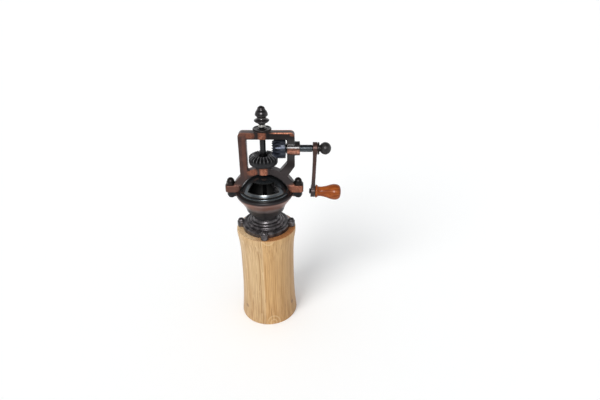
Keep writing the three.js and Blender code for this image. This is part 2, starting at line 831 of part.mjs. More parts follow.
function yokeFrame() {
  const ears = [0, Math.PI].map((turn) => raised(earShape(), 0, earHeight, 3).rotateZ(turn));
  const barTop = frameWindowTop + topBarHeight;
  const topBoss = disc(bossRadius, frameWindowTop + topBossDrop, barTop + topBossRise, mediumSides);
  const archBoss = disc(bossRadius, archInner.rise - domeSink, archTop - rimTop, mediumSides);
  const bearing = discAlongX(bearingRadius, windowRight, bearingEnd, mediumSides)
    .translate(0, 0, frameCrankHeight);
  const clearing = turned([
    [0, -cutRoom],
    [footRadius + fitGap, -cutRoom],
    [footRadius + fitGap, footHeight + fitGap],
    ...ellipsePoints(domeRadius + archSideGap, domeRise + archTopGap - fitGap, footHeight + fitGap,
      domeRise + archTopGap - fitGap - domeSink, domeSteps),
  ], mediumSides);
  const bores = [
    disc(shaftRadius + fitGap, -cutRoom, barTop + cutRoom, smallSides),
    discAlongX(crankShaftRadius + fitGap, windowRight - cutRoom, bearingEnd + cutRoom, smallSides)
      .translate(0, 0, frameCrankHeight),
  ];
  for (const side of [-1, 1]) {
    bores.push(disc(boltRadius + fitGap, -cutRoom, earHeight + cutRoom, smallSides)
      .translate(side * boltOffset, 0, 0));
    bores.push(disc(nutRadius + nutSpotRoom, earHeight, earHeight + nutHeight + cutRoom, smallSides)
      .translate(side * boltOffset, 0, 0));
  }
  const casting = [
    upright(portalShape(), frameDepth, 5),
    upright(archShape(), frameDepth, 1),
    ...ears,
    topBoss,
    archBoss,
    bearing,
  ];
  return combine(casting, [clearing, ...bores]);
}

function lugBolt() {
  const grip = lugDepth + earHeight;
  return turned([
    [0, -boltHead.height],
    [boltHead.radius - boltHead.edge, -boltHead.height],
    [boltHead.radius, boltHead.edge - boltHead.height],
    [boltHead.radius, 0],
    [boltRadius, 0],
    [boltRadius, grip + boltEndInNut],
    [0, grip + boltEndInNut],
  ], smallSides);
}

function acornNut() {
  const base = disc(nutRadius, 0, nutFlatHeight, 6);
  const cap = [[0, nutFlatHeight - overlap], [nutDomeRadius, nutFlatHeight - overlap]];
  const rise = nutHeight - nutFlatHeight;
  for (let i = 0; i < nutDomeSteps; i += 1) {
    const angle = (i * Math.PI) / 2 / nutDomeSteps;
    cap.push([nutDomeRadius * Math.cos(angle), nutFlatHeight + rise * Math.sin(angle)]);
  }
  cap.push([0, nutHeight]);
  const bore = disc(boltRadius + fitGap, -cutRoom, boltEndInNut + fitGap, smallSides);
  return combine([base, turned(cap, smallSides)], [bore]);
}

// Half the angle that a tooth covers at a height above the pitch cone, by the spur gear
// that rolls like this cone's heel
function halfToothAngle(teeth, cone, height) {
  const virtualRadius = (toothSize * teeth) / 2 / Math.cos(cone);
  const baseRadius = virtualRadius * Math.cos(pressureAngle);
  const radius = Math.max(virtualRadius + height, baseRadius);
  const slant = Math.acos(baseRadius / radius);
  const halfThickness = ((Math.PI * toothSize) / 2 - backlash) / 2 / virtualRadius;
  const involute = (angle) => Math.tan(angle) - angle;
  return (halfThickness + involute(pressureAngle) - involute(slant)) / Math.cos(cone);
}

// A bevel gear with its apex at the origin and its body along +Z. Each section holds the
// tooth's toe, the point where it leaves the rim, and the points of the body behind it.
function bevelGear(teeth, cone, rimRadius, bodyPoints, phase) {
  const pitchRadius = (toothSize * teeth) / 2;
  const pitchHeight = pitchDepth(teeth, cone);
  const heights = [-dedendum * toothSize, 0, addendum * toothSize];
  const sections = [];
  for (let tooth = 0; tooth < teeth; tooth += 1) {
    const middle = ((tooth + phase) * 2 * Math.PI) / teeth;
    const samples = [
      ...heights.map((height) => [-halfToothAngle(teeth, cone, height), height]),
      ...[...heights].reverse().map((height) => [halfToothAngle(teeth, cone, height), height]),
    ];
    for (const [offset, height] of samples) {
      const heelRadius = pitchRadius + height * Math.cos(cone);
      const heelHeight = pitchHeight - height * Math.sin(cone);
      const rimScale = rimRadius / heelRadius;
      const profile = [
        [toeScale * heelRadius, toeScale * heelHeight],
        [rimRadius, rimScale * heelHeight],
        ...bodyPoints,
      ];
      const angle = middle + offset;
      sections.push(profile.map(([radius, along]) => (
        new THREE.Vector3(radius * Math.cos(angle), radius * Math.sin(angle), along))));
    }
  }
  return lofted(sections, true);
}

const gearBottom = pitchDepth(gearTeeth, gearCone) + gearDepth;
const gearToeDepth = toeScale * pitchDepth(gearTeeth, gearCone);
const gearFaceDepth = gearToeDepth + gearFaceDrop;
const gearRecessFloor = gearFaceDepth + gearRecessDepth;

function mainGear() {
  const body = [
    [gearRimRadius, gearBottom - gearChamfer],
    [gearRimRadius - gearChamfer, gearBottom],
    [gearLoftBore, gearBottom],
    [gearLoftBore, gearRecessFloor],
    [gearRecessRadius, gearRecessFloor],
    [gearRecessRadius, gearFaceDepth],
  ];
  const wheel = bevelGear(gearTeeth, gearCone, gearRimRadius, body, 0.5).rotateX(Math.PI);
  const half = squareSide / 2 + fitGap;
  const bore = block(-half, half, -half, half, -gearBottom - cutRoom, -gearRecessFloor + cutRoom);
  return combine([wheel], [bore]);
}

function pinion() {
  const bore = crankShaftRadius + fitGap;
  const toeFace = toeScale * (pitchDepth(pinionTeeth, pinionCone)
    + dedendum * toothSize * Math.sin(pinionCone));
  const body = [
    [pinionRimRadius, pinionLength - pinionChamfer],
    [pinionRimRadius - pinionChamfer, pinionLength],
    [bore, pinionLength],
    [bore, toeFace],
    [pinionFaceRadius, toeFace],
  ];
  return bevelGear(pinionTeeth, pinionCone, pinionRimRadius, body, 0).rotateY(Math.PI / 2);
}

const shaftShoulder = crankHeight - gearRecessFloor + adjustTravel + shoulderRoom;

function mainShaft() {
  const footTop = shaftEndHeight + footThreadLength;
  const half = squareSide / 2;
  const threadStart = topBossTop;
  return combine([
    disc(footThreadRadius, shaftEndHeight, footTop + overlap, smallSides),
    block(-half, half, -half, half, footTop, shaftShoulder + overlap),
    disc(shaftRadius, shaftShoulder, threadStart, mediumSides),
    disc(threadRadius, threadStart - overlap, finialBase + shaftInFinial, smallSides),
  ]);
}

function topWasher() {
  const bore = shaftRadius + fitGap;
  return turned([
    [bore, 0],
    [washerRadius - washerDish, 0],
    [washerRadius, washerDish],
    [washerRadius, washerHeight - washerDish],
    [washerRadius - washerDish, washerHeight],
    [washerRadius - washerRim, washerHeight],
    [washerRadius - washerRim - washerDish, washerHeight - washerDish],
    [finialSpring.coilRadius + washerSeat.foot, washerHeight - washerDish],
    [finialSpring.coilRadius + washerSeat.top, washerHeight],
    [bore, washerHeight],
  ], mediumSides);
}

// A round wire wound as a helix, with a straight end square to each seat
function coilSpring(name, spring) {
  const steps = 8;
  const sides = 5;
  const wireRadius = spring.wire / 2;
  const path = [new THREE.Vector3(spring.coilRadius, 0, 0)];
  for (let i = 0; i <= spring.curls * steps; i += 1) {
    const angle = (i * 2 * Math.PI) / steps;
    path.push(new THREE.Vector3(spring.coilRadius * Math.cos(angle), spring.coilRadius * Math.sin(angle),
      spring.wire + (i * spring.pitch) / steps));
  }
  path.push(new THREE.Vector3(spring.coilRadius, 0, springHeight(spring)));
  const sections = path.map((centre, i) => {
    const before = path[Math.max(0, i - 1)];
    const after = path[Math.min(path.length - 1, i + 1)];
    const along = after.clone().sub(before).normalize();
    const outward = new THREE.Vector3(centre.x, centre.y, 0).normalize();
    outward.addScaledVector(along, -outward.dot(along)).normalize();
    const across = along.clone().cross(outward);
    const section = [];
    for (let side = 0; side < sides; side += 1) {
      const angle = (side * 2 * Math.PI) / sides;
      section.push(centre.clone()
        .addScaledVector(outward, wireRadius * Math.cos(angle))
        .addScaledVector(across, wireRadius * Math.sin(angle)));
    }
    return section;
  });
  let leastGap = Infinity;
  sections.forEach((section, i) => {
    for (const other of sections.slice(i + steps / 2)) {
      for (const point of section) {
        for (const target of other) leastGap = Math.min(leastGap, point.distanceTo(target));
      }
    }
  });
  console.log(`${name}: least gap between curls ${leastGap.toFixed(2)} mm`);
  return lofted(sections, false);
}

function finialNut() {
  const bore = threadRadius + fitGap;
  const boreDepth = shaftInFinial + adjustTravel + finialBoreRoom;
  return turned([
    [0, boreDepth + drillPoint],
    [bore, boreDepth],
    [bore, 0],
    [finialNeck.radius, 0],
    [finialNeck.radius, finialNeck.height],
    ...finialOutline.map(({ out, up }) => [finialRadius * out, finialHeight * up]),
    [0, finialHeight],
  ], mediumSides);
}

function crankShaft() {
  const collarStart = pinionLength + fitGap;
  return turnedAlongX([
    [0, shaftInPinion],
    [crankShaftRadius, shaftInPinion],
    [crankShaftRadius, collarStart],
    [shaftCollar.radius, collarStart],
    [shaftCollar.radius, collarStart + shaftCollar.length],
    [crankShaftRadius, collarStart + shaftCollar.length],
    [crankShaftRadius, armStart - fitGap],
    [crankEndRadius, armStart - fitGap],
    [crankEndRadius, ballStart + ballNeck.length + ballHalfLength],
    [0, ballStart + ballNeck.length + ballHalfLength],
  ], mediumSides);
}

const washerStart = armStart + armThickness + fitGap;
const ballStart = washerStart + armWasher.length + fitGap;

// The arm's flat shank: rounded sections that narrow at the waist and lean inward
function armShank() {
  const sections = [];
  for (let i = 0; i <= armSteps; i += 1) {
    const fall = i / armSteps;
    const swell = (2 * fall - 1) ** 2;
    const halfThickness = (armWaistThickness + (armThickness - armWaistThickness) * swell * armSwell) / 2;
    const halfWidth = (armTopWidth + (armFootWidth - armTopWidth) * fall) / 2;
    const middle = armCentre - armLean * fall ** armLeanCurve;
    const section = [];
    for (let side = 0; side < armSides; side += 1) {
      const angle = ((side + 0.5) * 2 * Math.PI) / armSides;
      const squared = (value) => Math.sign(value) * Math.abs(value) ** armSquareness;
      section.push(new THREE.Vector3(
        middle + halfThickness * squared(Math.cos(angle)),
        halfWidth * squared(Math.sin(angle)),
        -armLength * fall));
    }
    sections.push(section);
  }
  return lofted(sections, false);
}

// Places a shape modelled along +X at the arm's lower eye, drooping a little outward
function atFootEye(geometry) {
  return geometry.rotateY(knobDroop).translate(armCentre - armLean, 0, -armLength);
}

function crankArm() {
  const half = armThickness / 2;
  const topEye = discAlongX(armEyeRadius, armStart, armStart + armThickness, mediumSides);
  const footEye = atFootEye(discAlongX(footEyeRadius, -half, half, mediumSides));
  const topBore = discAlongX(crankEndRadius + fitGap, armStart - cutRoom, armStart + armThickness + cutRoom,
    smallSides);
  const footBore = atFootEye(discAlongX(pinRadius + fitGap, -half - cutRoom, half + cutRoom, smallSides));
  return combine([armShank(), topEye, footEye], [topBore, footBore]);
}

function crankWasher() {
  const bore = crankEndRadius + fitGap;
  return turnedAlongX([
    [bore, washerStart],
    [armWasher.radius - armWasher.edge, washerStart],
    [armWasher.radius, washerStart + armWasher.edge],
    [armWasher.radius, washerStart + armWasher.length - armWasher.edge],
    [armWasher.radius - armWasher.edge, washerStart + armWasher.length],
    [bore, washerStart + armWasher.length],
  ], mediumSides);
}

function ballNut() {
  const bore = crankEndRadius + fitGap;
  const boreEnd = ballStart + ballNeck.length + ballHalfLength + fitGap;
  const firstAngle = Math.PI - Math.asin(ballNeck.radius / ballRadius);
  const centre = ballStart + ballNeck.length - ballHalfLength * Math.cos(firstAngle);
  const profile = [
    [0, boreEnd],
    [bore, boreEnd],
    [bore, ballStart],
    [ballNeck.radius, ballStart],
    [ballNeck.radius, ballStart + ballNeck.length],
  ];
  for (let i = 1; i < ballSteps; i += 1) {
    const angle = firstAngle * (1 - i / ballSteps);
    profile.push([ballRadius * Math.sin(angle), centre + ballHalfLength * Math.cos(angle)]);
  }
  profile.push([0, centre + ballHalfLength]);
  return turnedAlongX(profile, mediumSides);
}

function knobPin() {
  const face = armThickness / 2 + fitGap;
  return turnedAlongX([
    [0, -face - pinHead.length],
    [pinHead.radius - pinHead.edge, -face - pinHead.length],
    [pinHead.radius, -face - pinHead.length + pinHead.edge],
    [pinHead.radius, -face],
    [pinRadius, -face],
    [pinRadius, pinLength - face],
    [0, pinLength - face],
  ], smallSides);
}

function woodKnob() {
  const start = armThickness / 2 + fitGap;
  const bore = pinRadius + fitGap;
  const boreEnd = pinLength - armThickness / 2 + knobBoreRoom;
  return turnedAlongX([
    [0, boreEnd],
    [bore, boreEnd],
    [bore, start],
    [knobRadius * knobOutline[0].out, start],
    ...knobOutline.map(({ out, along }) => [knobRadius * out, start + knobLength * along]),
    [0, start + knobLength],
  ], mediumSides);
}

// A ring of cutting teeth: sections alternate between tooth and groove and twist with height
function fluted(teeth, pointsAt) {
  const sections = [];
  for (let i = 0; i < teeth * 2; i += 1) {
    const angle = (i * Math.PI) / teeth;
    const isTooth = i % 2 === 0;
    sections.push(pointsAt(isTooth).map(({ radius, height, twist = 0 }) => (
      new THREE.Vector3(radius * Math.cos(angle + twist), radius * Math.sin(angle + twist), height))));
  }
  return lofted(sections, true);
}

function outerBurr() {
  const bodyRadius = chamberRadius - fitGap;
  const ring = fluted(outerBurrTeeth, (isTooth) => {
    const depth = isTooth ? burrToothDepth : 0;
    return [
      { radius: recessRadius - fitGap, height: burrFoot },
      { radius: recessRadius - fitGap, height: recessDepth },
      { radius: bodyRadius, height: recessDepth },
      { radius: bodyRadius, height: burrTop },
      { radius: burrTopRadius - depth, height: burrTop, twist: burrTwist },
      { radius: burrMouthRadius - depth, height: burrFoot },
    ];
  });
  const holes = burrScrewPlaces.map(([x, y]) => (
    disc(burrScrewShank.radius + fitGap, 0, recessDepth + cutRoom, smallSides).translate(x, y, 0)));
  return combine([ring], holes);
}

function innerBurr() {
  const innerTop = innerBurrFoot + innerBurrHeight;
  const crushTop = innerBurrFoot + crushHeight;
  const radiusAt = (height) => (
    burrMouthRadius - burrToothDepth - burrGap - (height - burrFoot) * burrSlope);
  const ring = fluted(innerBurrTeeth, (isTooth) => {
    const depth = isTooth ? 0 : burrToothDepth;
    return [
      { radius: burrLoftBore, height: innerBurrFoot },
      { radius: radiusAt(innerBurrFoot) - depth, height: innerBurrFoot },
      { radius: radiusAt(crushTop) - depth, height: crushTop, twist: burrTwist / 2 },
      { radius: innerBurrTopRadius - depth, height: innerTop, twist: burrTwist },
      { radius: burrLoftBore, height: innerTop, twist: burrTwist },
    ];
  });
  const half = squareSide / 2 + fitGap;
  return combine([ring], [block(-half, half, -half, half, innerBurrFoot - cutRoom, innerTop + cutRoom)]);
}

function burrBridge() {
  const outer = chamberRadius - fitGap;
  const inner = outer - bridgeRimWidth;
  const rim = turned([[inner, 0], [outer, 0], [outer, bridgeHeight], [inner, bridgeHeight]], mediumSides);
  const reach = inner + overlap;
  const bar = block(-reach, reach, -bridgeBarHalfWidth, bridgeBarHalfWidth, 0, bridgeHeight);
  const hub = disc(bridgeHubRadius, 0, bridgeHeight, mediumSides);
  const bore = disc(shaftRadius + fitGap, -cutRoom, bridgeHeight + cutRoom, smallSides);
  return combine([rim, bar, hub], [bore]);
}

function footNut() {
  const bore = footThreadRadius + fitGap;
  const top = innerBurrFoot - fitGap;
  const nut = disc(burrNut.radius, top - burrNut.height, top, 6);
  return combine([nut], [disc(bore, top - burrNut.height - cutRoom, top + cutRoom, smallSides)]);
}

// Assembly: what is fixed to the body, then each group that moves
function fixedPieces() {
  const group = new THREE.Group();
  group.add(piece('wood_body', woodBody(), oak));
  group.add(piece('base_flange', baseFlange(), darkBronze, woodHeight));
  flangePlaces.forEach(([x, y], i) => {
    const screw = piece(`flange_screw_${i + 1}`, roundHeadScrew(flangeScrewHead, {
      radius: flangeScrewShank.radius,
      depth: flangeScrewShank.depth + flangeLugHeight,
    }), darkBronze, woodHeight + flangeLugHeight);
    screw.position.x = x;
    screw.position.y = y;
    group.add(screw);
  });
  group.add(piece('hopper_bowl', hopperBowl(), copperBronze, bowlSeat));
  group.add(piece('dome_cover', domeCover(), glossBlack, rimTop));
  group.add(piece('door_clip', doorClip(), brightSteel, rimTop));
  group.add(piece('yoke_frame', yokeFrame(), copperBronze, rimTop));
  for (const [side, x] of [['left', -boltOffset], ['right', boltOffset]]) {
    const bolt = piece(`lug_bolt_${side}`, lugBolt(), darkBronze, rimTop - lugDepth);
    bolt.position.x = x;
    const nut = piece(`acorn_nut_${side}`, acornNut(), darkBronze, earTop);
    nut.position.x = x;
    group.add(bolt, nut);
  }
  group.add(piece('top_washer', topWasher(), darkBronze, topBossTop));
  group.add(piece('outer_burr', outerBurr(), burrSteel));
  group.add(piece('burr_bridge', burrBridge(), burrSteel, burrTop));
  burrScrewPlaces.forEach(([x, y], i) => {
    const screw = piece(`burr_screw_${i + 1}`, roundHeadScrew(burrScrewHead, {
      radius: burrScrewShank.radius,
      depth: burrScrewShank.depth + burrFlangeHeight,
    }), brightSteel, burrFoot);
    screw.rotation.x = Math.PI;
    screw.position.x = x;
    screw.position.y = y;
    group.add(screw);
  });
  return group;
}

function doorPieces() {
  const group = new THREE.Group();
  group.position.z = rimTop;
  group.add(piece('dome_door', domeDoor(), glossBlack));
  group.add(piece('door_knob', doorKnob(), glossBlack));
  return group;
}

function shaftPieces() {
  const group = new THREE.Group();
  group.add(piece('bevel_gear', mainGear(), gearBlack, crankHeight));
  group.add(piece('main_shaft', mainShaft(), darkBronze));
  group.add(piece('inner_burr', innerBurr(), burrSteel));
  group.add(piece('burr_nut', footNut(), brightSteel));
  const springSeat = innerBurrFoot + innerBurrHeight + seatGap;
  group.add(piece('burr_spring', coilSpring('burr_spring', burrSpring), brightSteel, springSeat));
  const finialSeat = washerTop + seatGap;
  group.add(piece('finial_spring', coilSpring('finial_spring', finialSpring), brightSteel, finialSeat));
  group.add(piece('finial_nut', finialNut(), glossBlack, finialBase));
  return group;
}

function crankPieces() {
  const group = new THREE.Group();
  group.position.z = crankHeight;
  group.add(piece('crank_shaft', crankShaft(), darkBronze));
  group.add(piece('bevel_pinion', pinion(), gearBlack));
  group.add(piece('crank_arm', crankArm(), copperBronze));
  group.add(piece('arm_washer', crankWasher(), darkBronze));
  group.add(piece('ball_nut', ballNut(), darkBronze));
  const handle = new THREE.Group();
  handle.position.set(armCentre - armLean, 0, -armLength);
  handle.rotation.y = knobDroop;
  handle.add(piece('knob_pin', knobPin(), darkBronze));
  handle.add(piece('wood_knob', woodKnob(), knobWood));
  group.add(handle);
  return group;
}

// The whole stands on the origin, which is the middle of its footprint
function standOnOrigin(assembly) {
  const bounds = new THREE.Box3().setFromObject(assembly, true);
  const middle = bounds.getCenter(new THREE.Vector3());
  assembly.position.set(-middle.x, -middle.y, -bounds.min.z);
  const grinder = new THREE.Group();
  grinder.add(assembly);
  return grinder;
}

const assembly = new THREE.Group();
assembly.add(fixedPieces(), doorPieces(), shaftPieces(), crankPieces());

export default standOnOrigin(assembly);
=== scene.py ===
import math
import bmesh
import bpy
from mathutils import Matrix, Vector


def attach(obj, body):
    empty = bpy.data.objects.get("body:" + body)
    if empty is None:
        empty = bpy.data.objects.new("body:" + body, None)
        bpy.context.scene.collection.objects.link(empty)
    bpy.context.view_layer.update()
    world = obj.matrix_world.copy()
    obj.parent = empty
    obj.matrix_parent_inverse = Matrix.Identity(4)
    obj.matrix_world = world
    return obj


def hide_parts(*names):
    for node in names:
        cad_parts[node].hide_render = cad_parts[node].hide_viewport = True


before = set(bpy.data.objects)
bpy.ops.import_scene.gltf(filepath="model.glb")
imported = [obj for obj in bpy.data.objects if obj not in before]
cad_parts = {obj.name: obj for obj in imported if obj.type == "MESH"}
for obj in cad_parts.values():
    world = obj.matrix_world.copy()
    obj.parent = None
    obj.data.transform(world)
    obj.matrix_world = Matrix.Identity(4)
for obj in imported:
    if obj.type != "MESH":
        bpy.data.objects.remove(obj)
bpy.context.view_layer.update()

bodyAxis = -0.018986  # x of the turned body's own axis, in metres
millimetre = 0.001
print("packed model loaded")


# Shader nodes

# A value that is a socket is linked, and any other value is set on the socket itself
def connect(tree, node, inputs):
    for name, value in inputs.items():
        if isinstance(value, bpy.types.NodeSocket):
            tree.links.new(value, node.inputs[name])
        else:
            node.inputs[name].default_value = value


def addNode(tree, kind, inputs=None, **settings):
    made = tree.nodes.new(kind)
    for name, value in settings.items():
        setattr(made, name, value)
    connect(tree, made, inputs or {})
    return made


def calculate(tree, operation, first, second=0.0, third=0.0):
    return addNode(tree, "ShaderNodeMath", {0: first, 1: second, 2: third}, operation=operation).outputs[0]


def times(tree, first, second):
    return calculate(tree, "MULTIPLY", first, second)


def clamped(tree, value):
    return addNode(tree, "ShaderNodeClamp", {0: value}).outputs[0]


# Takes the first pair of values to the second pair, smoothly, and holds the ends
def ranged(tree, value, before, after=(0.0, 1.0)):
    inputs = {
        "Value": value, "From Min": before[0], "From Max": before[1],
        "To Min": after[0], "To Max": after[1],
    }
    return addNode(tree, "ShaderNodeMapRange", inputs, interpolation_type="SMOOTHSTEP").outputs[0]


def mixed(tree, factor, first, second, blend="MIX"):
    inputs = {0: factor, 6: first, 7: second}  # 6 and 7 are the node's two colours
    return addNode(tree, "ShaderNodeMix", inputs, data_type="RGBA", blend_type=blend).outputs[2]


def noise(tree, vector, scale, detail=4.0, roughness=0.55):
    inputs = {"Vector": vector, "Scale": scale, "Detail": detail, "Roughness": roughness}
    return addNode(tree, "ShaderNodeTexNoise", inputs).outputs[0]


def stretched(tree, vector, scale):
    return addNode(tree, "ShaderNodeMapping", {"Vector": vector, "Scale": scale}).outputs[0]


def onVectors(tree, operation, first, second=(0.0, 0.0, 0.0)):
    made = addNode(tree, "ShaderNodeVectorMath", {0: first, 1: second}, operation=operation)
    return made.outputs["Vector"]


def lengthOf(tree, vector):
    return addNode(tree, "ShaderNodeVectorMath", {0: vector}, operation="LENGTH").outputs["Value"]


def partsOf(tree, vector):
    return addNode(tree, "ShaderNodeSeparateXYZ", {0: vector}).outputs


def bumped(tree, height, strength, distance):
    inputs = {"Height": height, "Strength": strength, "Distance": distance}
    return addNode(tree, "ShaderNodeBump", inputs).outputs[0]


def placeGroup(tree, group, inputs):
    return addNode(tree, "ShaderNodeGroup", inputs, node_tree=group).outputs


def newGroup(name, inputs, outputs):
    tree = bpy.data.node_groups.new(name, "ShaderNodeTree")
    for label, kind, value in inputs:
        socket = tree.interface.new_socket(name=label, in_out="INPUT", socket_type=kind)
        if value is not None:
            socket.default_value = value
    for label in outputs:
        tree.interface.new_socket(name=label, in_out="OUTPUT", socket_type=floatSocket)
    return tree, tree.nodes.new("NodeGroupInput").outputs, tree.nodes.new("NodeGroupOutput")


floatSocket, vectorSocket = "NodeSocketFloat", "NodeSocketVector"

toneMarks = {
    "broad": {"detail": 5.0, "roughness": 0.6}, "fine": {"detail": 3.0, "roughness": 0.65},
    "fineShare": 14.0,
}


# Broad uneven tone of a plated or painted surface, from 0 to 1, and its fine grain
def makeUnevenTone():
    marks = toneMarks
    tree, given, result = newGroup(
        "unevenTone",
        [("Position", vectorSocket, None), ("Scale", floatSocket, 120.0), ("Contrast", floatSocket, 1.0)],
        ["Tone", "Grain"])
    broad = noise(tree, given["Position"], given["Scale"], **marks["broad"])
    centred = calculate(tree, "SUBTRACT", broad, 0.5)
    widened = calculate(tree, "MULTIPLY_ADD", centred, given["Contrast"], 0.5)
    fineScale = times(tree, given["Scale"], marks["fineShare"])
    connect(tree, result, {
        "Tone": clamped(tree, widened),
        "Grain": noise(tree, given["Position"], fineScale, **marks["fine"]),
    })
    return tree


edgeMarks = {"breakup": (0.35, 0.65), "hollow": (0.49, 0.42)}


# Where handling has rubbed the plating off the outer edges, broken up by noise, and where the hollows
# between them lie; the dark finishes darken these as dirt and painted shade
def makeEdgeWear():
    marks = edgeMarks
    tree, given, result = newGroup(
        "edgeWear",
        [("Position", vectorSocket, None), ("Start", floatSocket, 0.54), ("Width", floatSocket, 0.06),
         ("Breakup", floatSocket, 0.5), ("Scale", floatSocket, 260.0)],
        ["Mask", "Hollow"])
    edge = addNode(tree, "ShaderNodeNewGeometry").outputs["Pointiness"]
    past = calculate(tree, "SUBTRACT", edge, given["Start"])
    rise = clamped(tree, calculate(tree, "DIVIDE", past, given["Width"]))
    broken = ranged(tree, noise(tree, given["Position"], given["Scale"]), marks["breakup"])
    kept = calculate(tree, "SUBTRACT", 1.0, times(tree, given["Breakup"], broken))
    connect(tree, result, {"Mask": times(tree, rise, kept), "Hollow": ranged(tree, edge, marks["hollow"])})
    return tree


patchMarks = {"squareness": 3.0, "raggedScale": 420.0, "fade": (1.30, 0.55), "spotScale": 700.0,
              "spotRoughness": 0.7, "spots": ((0.36, 0.62), (0.5, 1.0))}


# A soft-edged patch round a place, the same on the front and the back of the casting
def makeWearPatch():
    marks = patchMarks
    tree, given, result = newGroup(
        "wearPatch",
        [("Position", vectorSocket, None), ("Centre", vectorSocket, None),
         ("Half Size", vectorSocket, None), ("Ragged", floatSocket, 0.3), ("Strength", floatSocket, 1.0)],
        ["Mask"])
    place = partsOf(tree, given["Position"])
    front = addNode(tree, "ShaderNodeCombineXYZ", {
        "X": place["X"], "Y": calculate(tree, "ABSOLUTE", place["Y"]), "Z": place["Z"]}).outputs[0]
    away = onVectors(tree, "SUBTRACT", front, given["Centre"])
    share = onVectors(tree, "DIVIDE", away, given["Half Size"])
    parts = partsOf(tree, onVectors(tree, "ABSOLUTE", share))
    squareness = marks["squareness"]
    acrossPower = calculate(tree, "POWER", parts["X"], squareness)
    upPower = calculate(tree, "POWER", parts["Z"], squareness)
    inPlane = calculate(tree, "POWER", calculate(tree, "ADD", acrossPower, upPower), 1.0 / squareness)
    farthest = calculate(tree, "MAXIMUM", inPlane, parts["Y"])
    uneven = calculate(tree, "SUBTRACT", noise(tree, given["Position"], marks["raggedScale"]), 0.5)
    ragged = calculate(tree, "MULTIPLY_ADD", uneven, given["Ragged"], farthest)
    spots = noise(tree, given["Position"], marks["spotScale"], roughness=marks["spotRoughness"])
    kept = times(tree, ranged(tree, spots, *marks["spots"]), given["Strength"])
    connect(tree, result, {"Mask": times(tree, ranged(tree, ragged, marks["fade"]), kept)})
    return tree


# Stretch is a mark's width over its length along the timber
timberMarks = {
    "sway": {"stretch": 0.16, "scale": 38.0, "detail": 2.0},
    "ringEdges": ((0.0, 0.16), (1.0, 0.5)),
    "ringTone": {"stretch": 0.014, "scale": 430.0, "detail": 3.0, "roughness": 0.6},
    "ringRange": ((0.36, 0.64), (0.1, 1.0)),
    "fibre": {"stretch": 0.03, "scale": 900.0, "detail": 4.0, "roughness": 0.7},
    "pore": {"stretch": 0.055, "detail": 2.0, "roughness": 0.5}, "poreRange": (0.69, 0.76),
    "fleck": {"stretch": 0.3, "scale": 330.0, "detail": 2.0, "roughness": 0.5},
    "fleckRange": (0.62, 0.70),
}


def drawnOut(tree, vector, stretch, scale, detail, roughness):
    return noise(tree, stretched(tree, vector, (1, 1, stretch)), scale, detail, roughness)


# Straight timber grain: year rings round a far pith line, fine fibres and open pores. Rings is the number
# of rings in 100 mm.
def makeTimberGrain():
    marks = timberMarks
    tree, given, result = newGroup(
        "timberGrain",
        [("Position", vectorSocket, None), ("Pith", vectorSocket, None), ("Lean", vectorSocket, None),
         ("Rings", floatSocket, 60.0), ("Wander", floatSocket, 0.004), ("Pore Scale", floatSocket, 700.0)],
        ["Rings", "Fibre", "Pores", "Fleck"])
    leaned = addNode(
        tree, "ShaderNodeVectorRotate", {"Vector": given["Position"], "Rotation": given["Lean"]},
        rotation_type="EULER_XYZ").outputs[0]
    sway = marks["sway"]
    drift = addNode(tree, "ShaderNodeTexNoise", {
        "Vector": stretched(tree, leaned, (1, 1, sway["stretch"])), "Scale": sway["scale"],
        "Detail": sway["detail"]}).outputs["Color"]
    centred = onVectors(tree, "SUBTRACT", drift, (0.5, 0.5, 0.5))
    swayed = addNode(
        tree, "ShaderNodeVectorMath", {0: centred, "Scale": given["Wander"]}, operation="SCALE")
    grain = onVectors(tree, "ADD", leaned, swayed.outputs[0])
    fromPith = onVectors(tree, "SUBTRACT", grain, given["Pith"])
    distance = lengthOf(tree, onVectors(tree, "MULTIPLY", fromPith, (1, 1, 0)))
    perMetre = times(tree, given["Rings"], 10.0)
    year = calculate(tree, "FRACT", times(tree, distance, perMetre))
    spring, autumn = marks["ringEdges"]
    line = times(tree, ranged(tree, year, spring), ranged(tree, year, autumn))
    lineTone = ranged(tree, drawnOut(tree, grain, **marks["ringTone"]), *marks["ringRange"])
    cells = drawnOut(tree, grain, scale=given["Pore Scale"], **marks["pore"])
    connect(tree, result, {
        "Rings": times(tree, line, lineTone),
        "Fibre": drawnOut(tree, grain, **marks["fibre"]),
        "Pores": ranged(tree, cells, marks["poreRange"]),
        "Fleck": ranged(tree, drawnOut(tree, grain, **marks["fleck"]), marks["fleckRange"]),
    })
    return tree


unevenTone = makeUnevenTone()
edgeWear = makeEdgeWear()
wearPatch = makeWearPatch()
timberGrain = makeTimberGrain()
print("node groups made")


# Materials

grainRange = (0.2, 0.8)  # where nearly all values of the fine grain lie


def startMaterial(name):
    material = bpy.data.materials.new(name)
    material.use_nodes = True
    tree = material.node_tree
    tree.nodes.clear()
    shader = tree.nodes.new("ShaderNodeBsdfPrincipled")
    output = tree.nodes.new("ShaderNodeOutputMaterial")
    tree.links.new(shader.outputs[0], output.inputs[0])
    position = tree.nodes.new("ShaderNodeTexCoord").outputs["Object"]
    return material, tree, shader, position


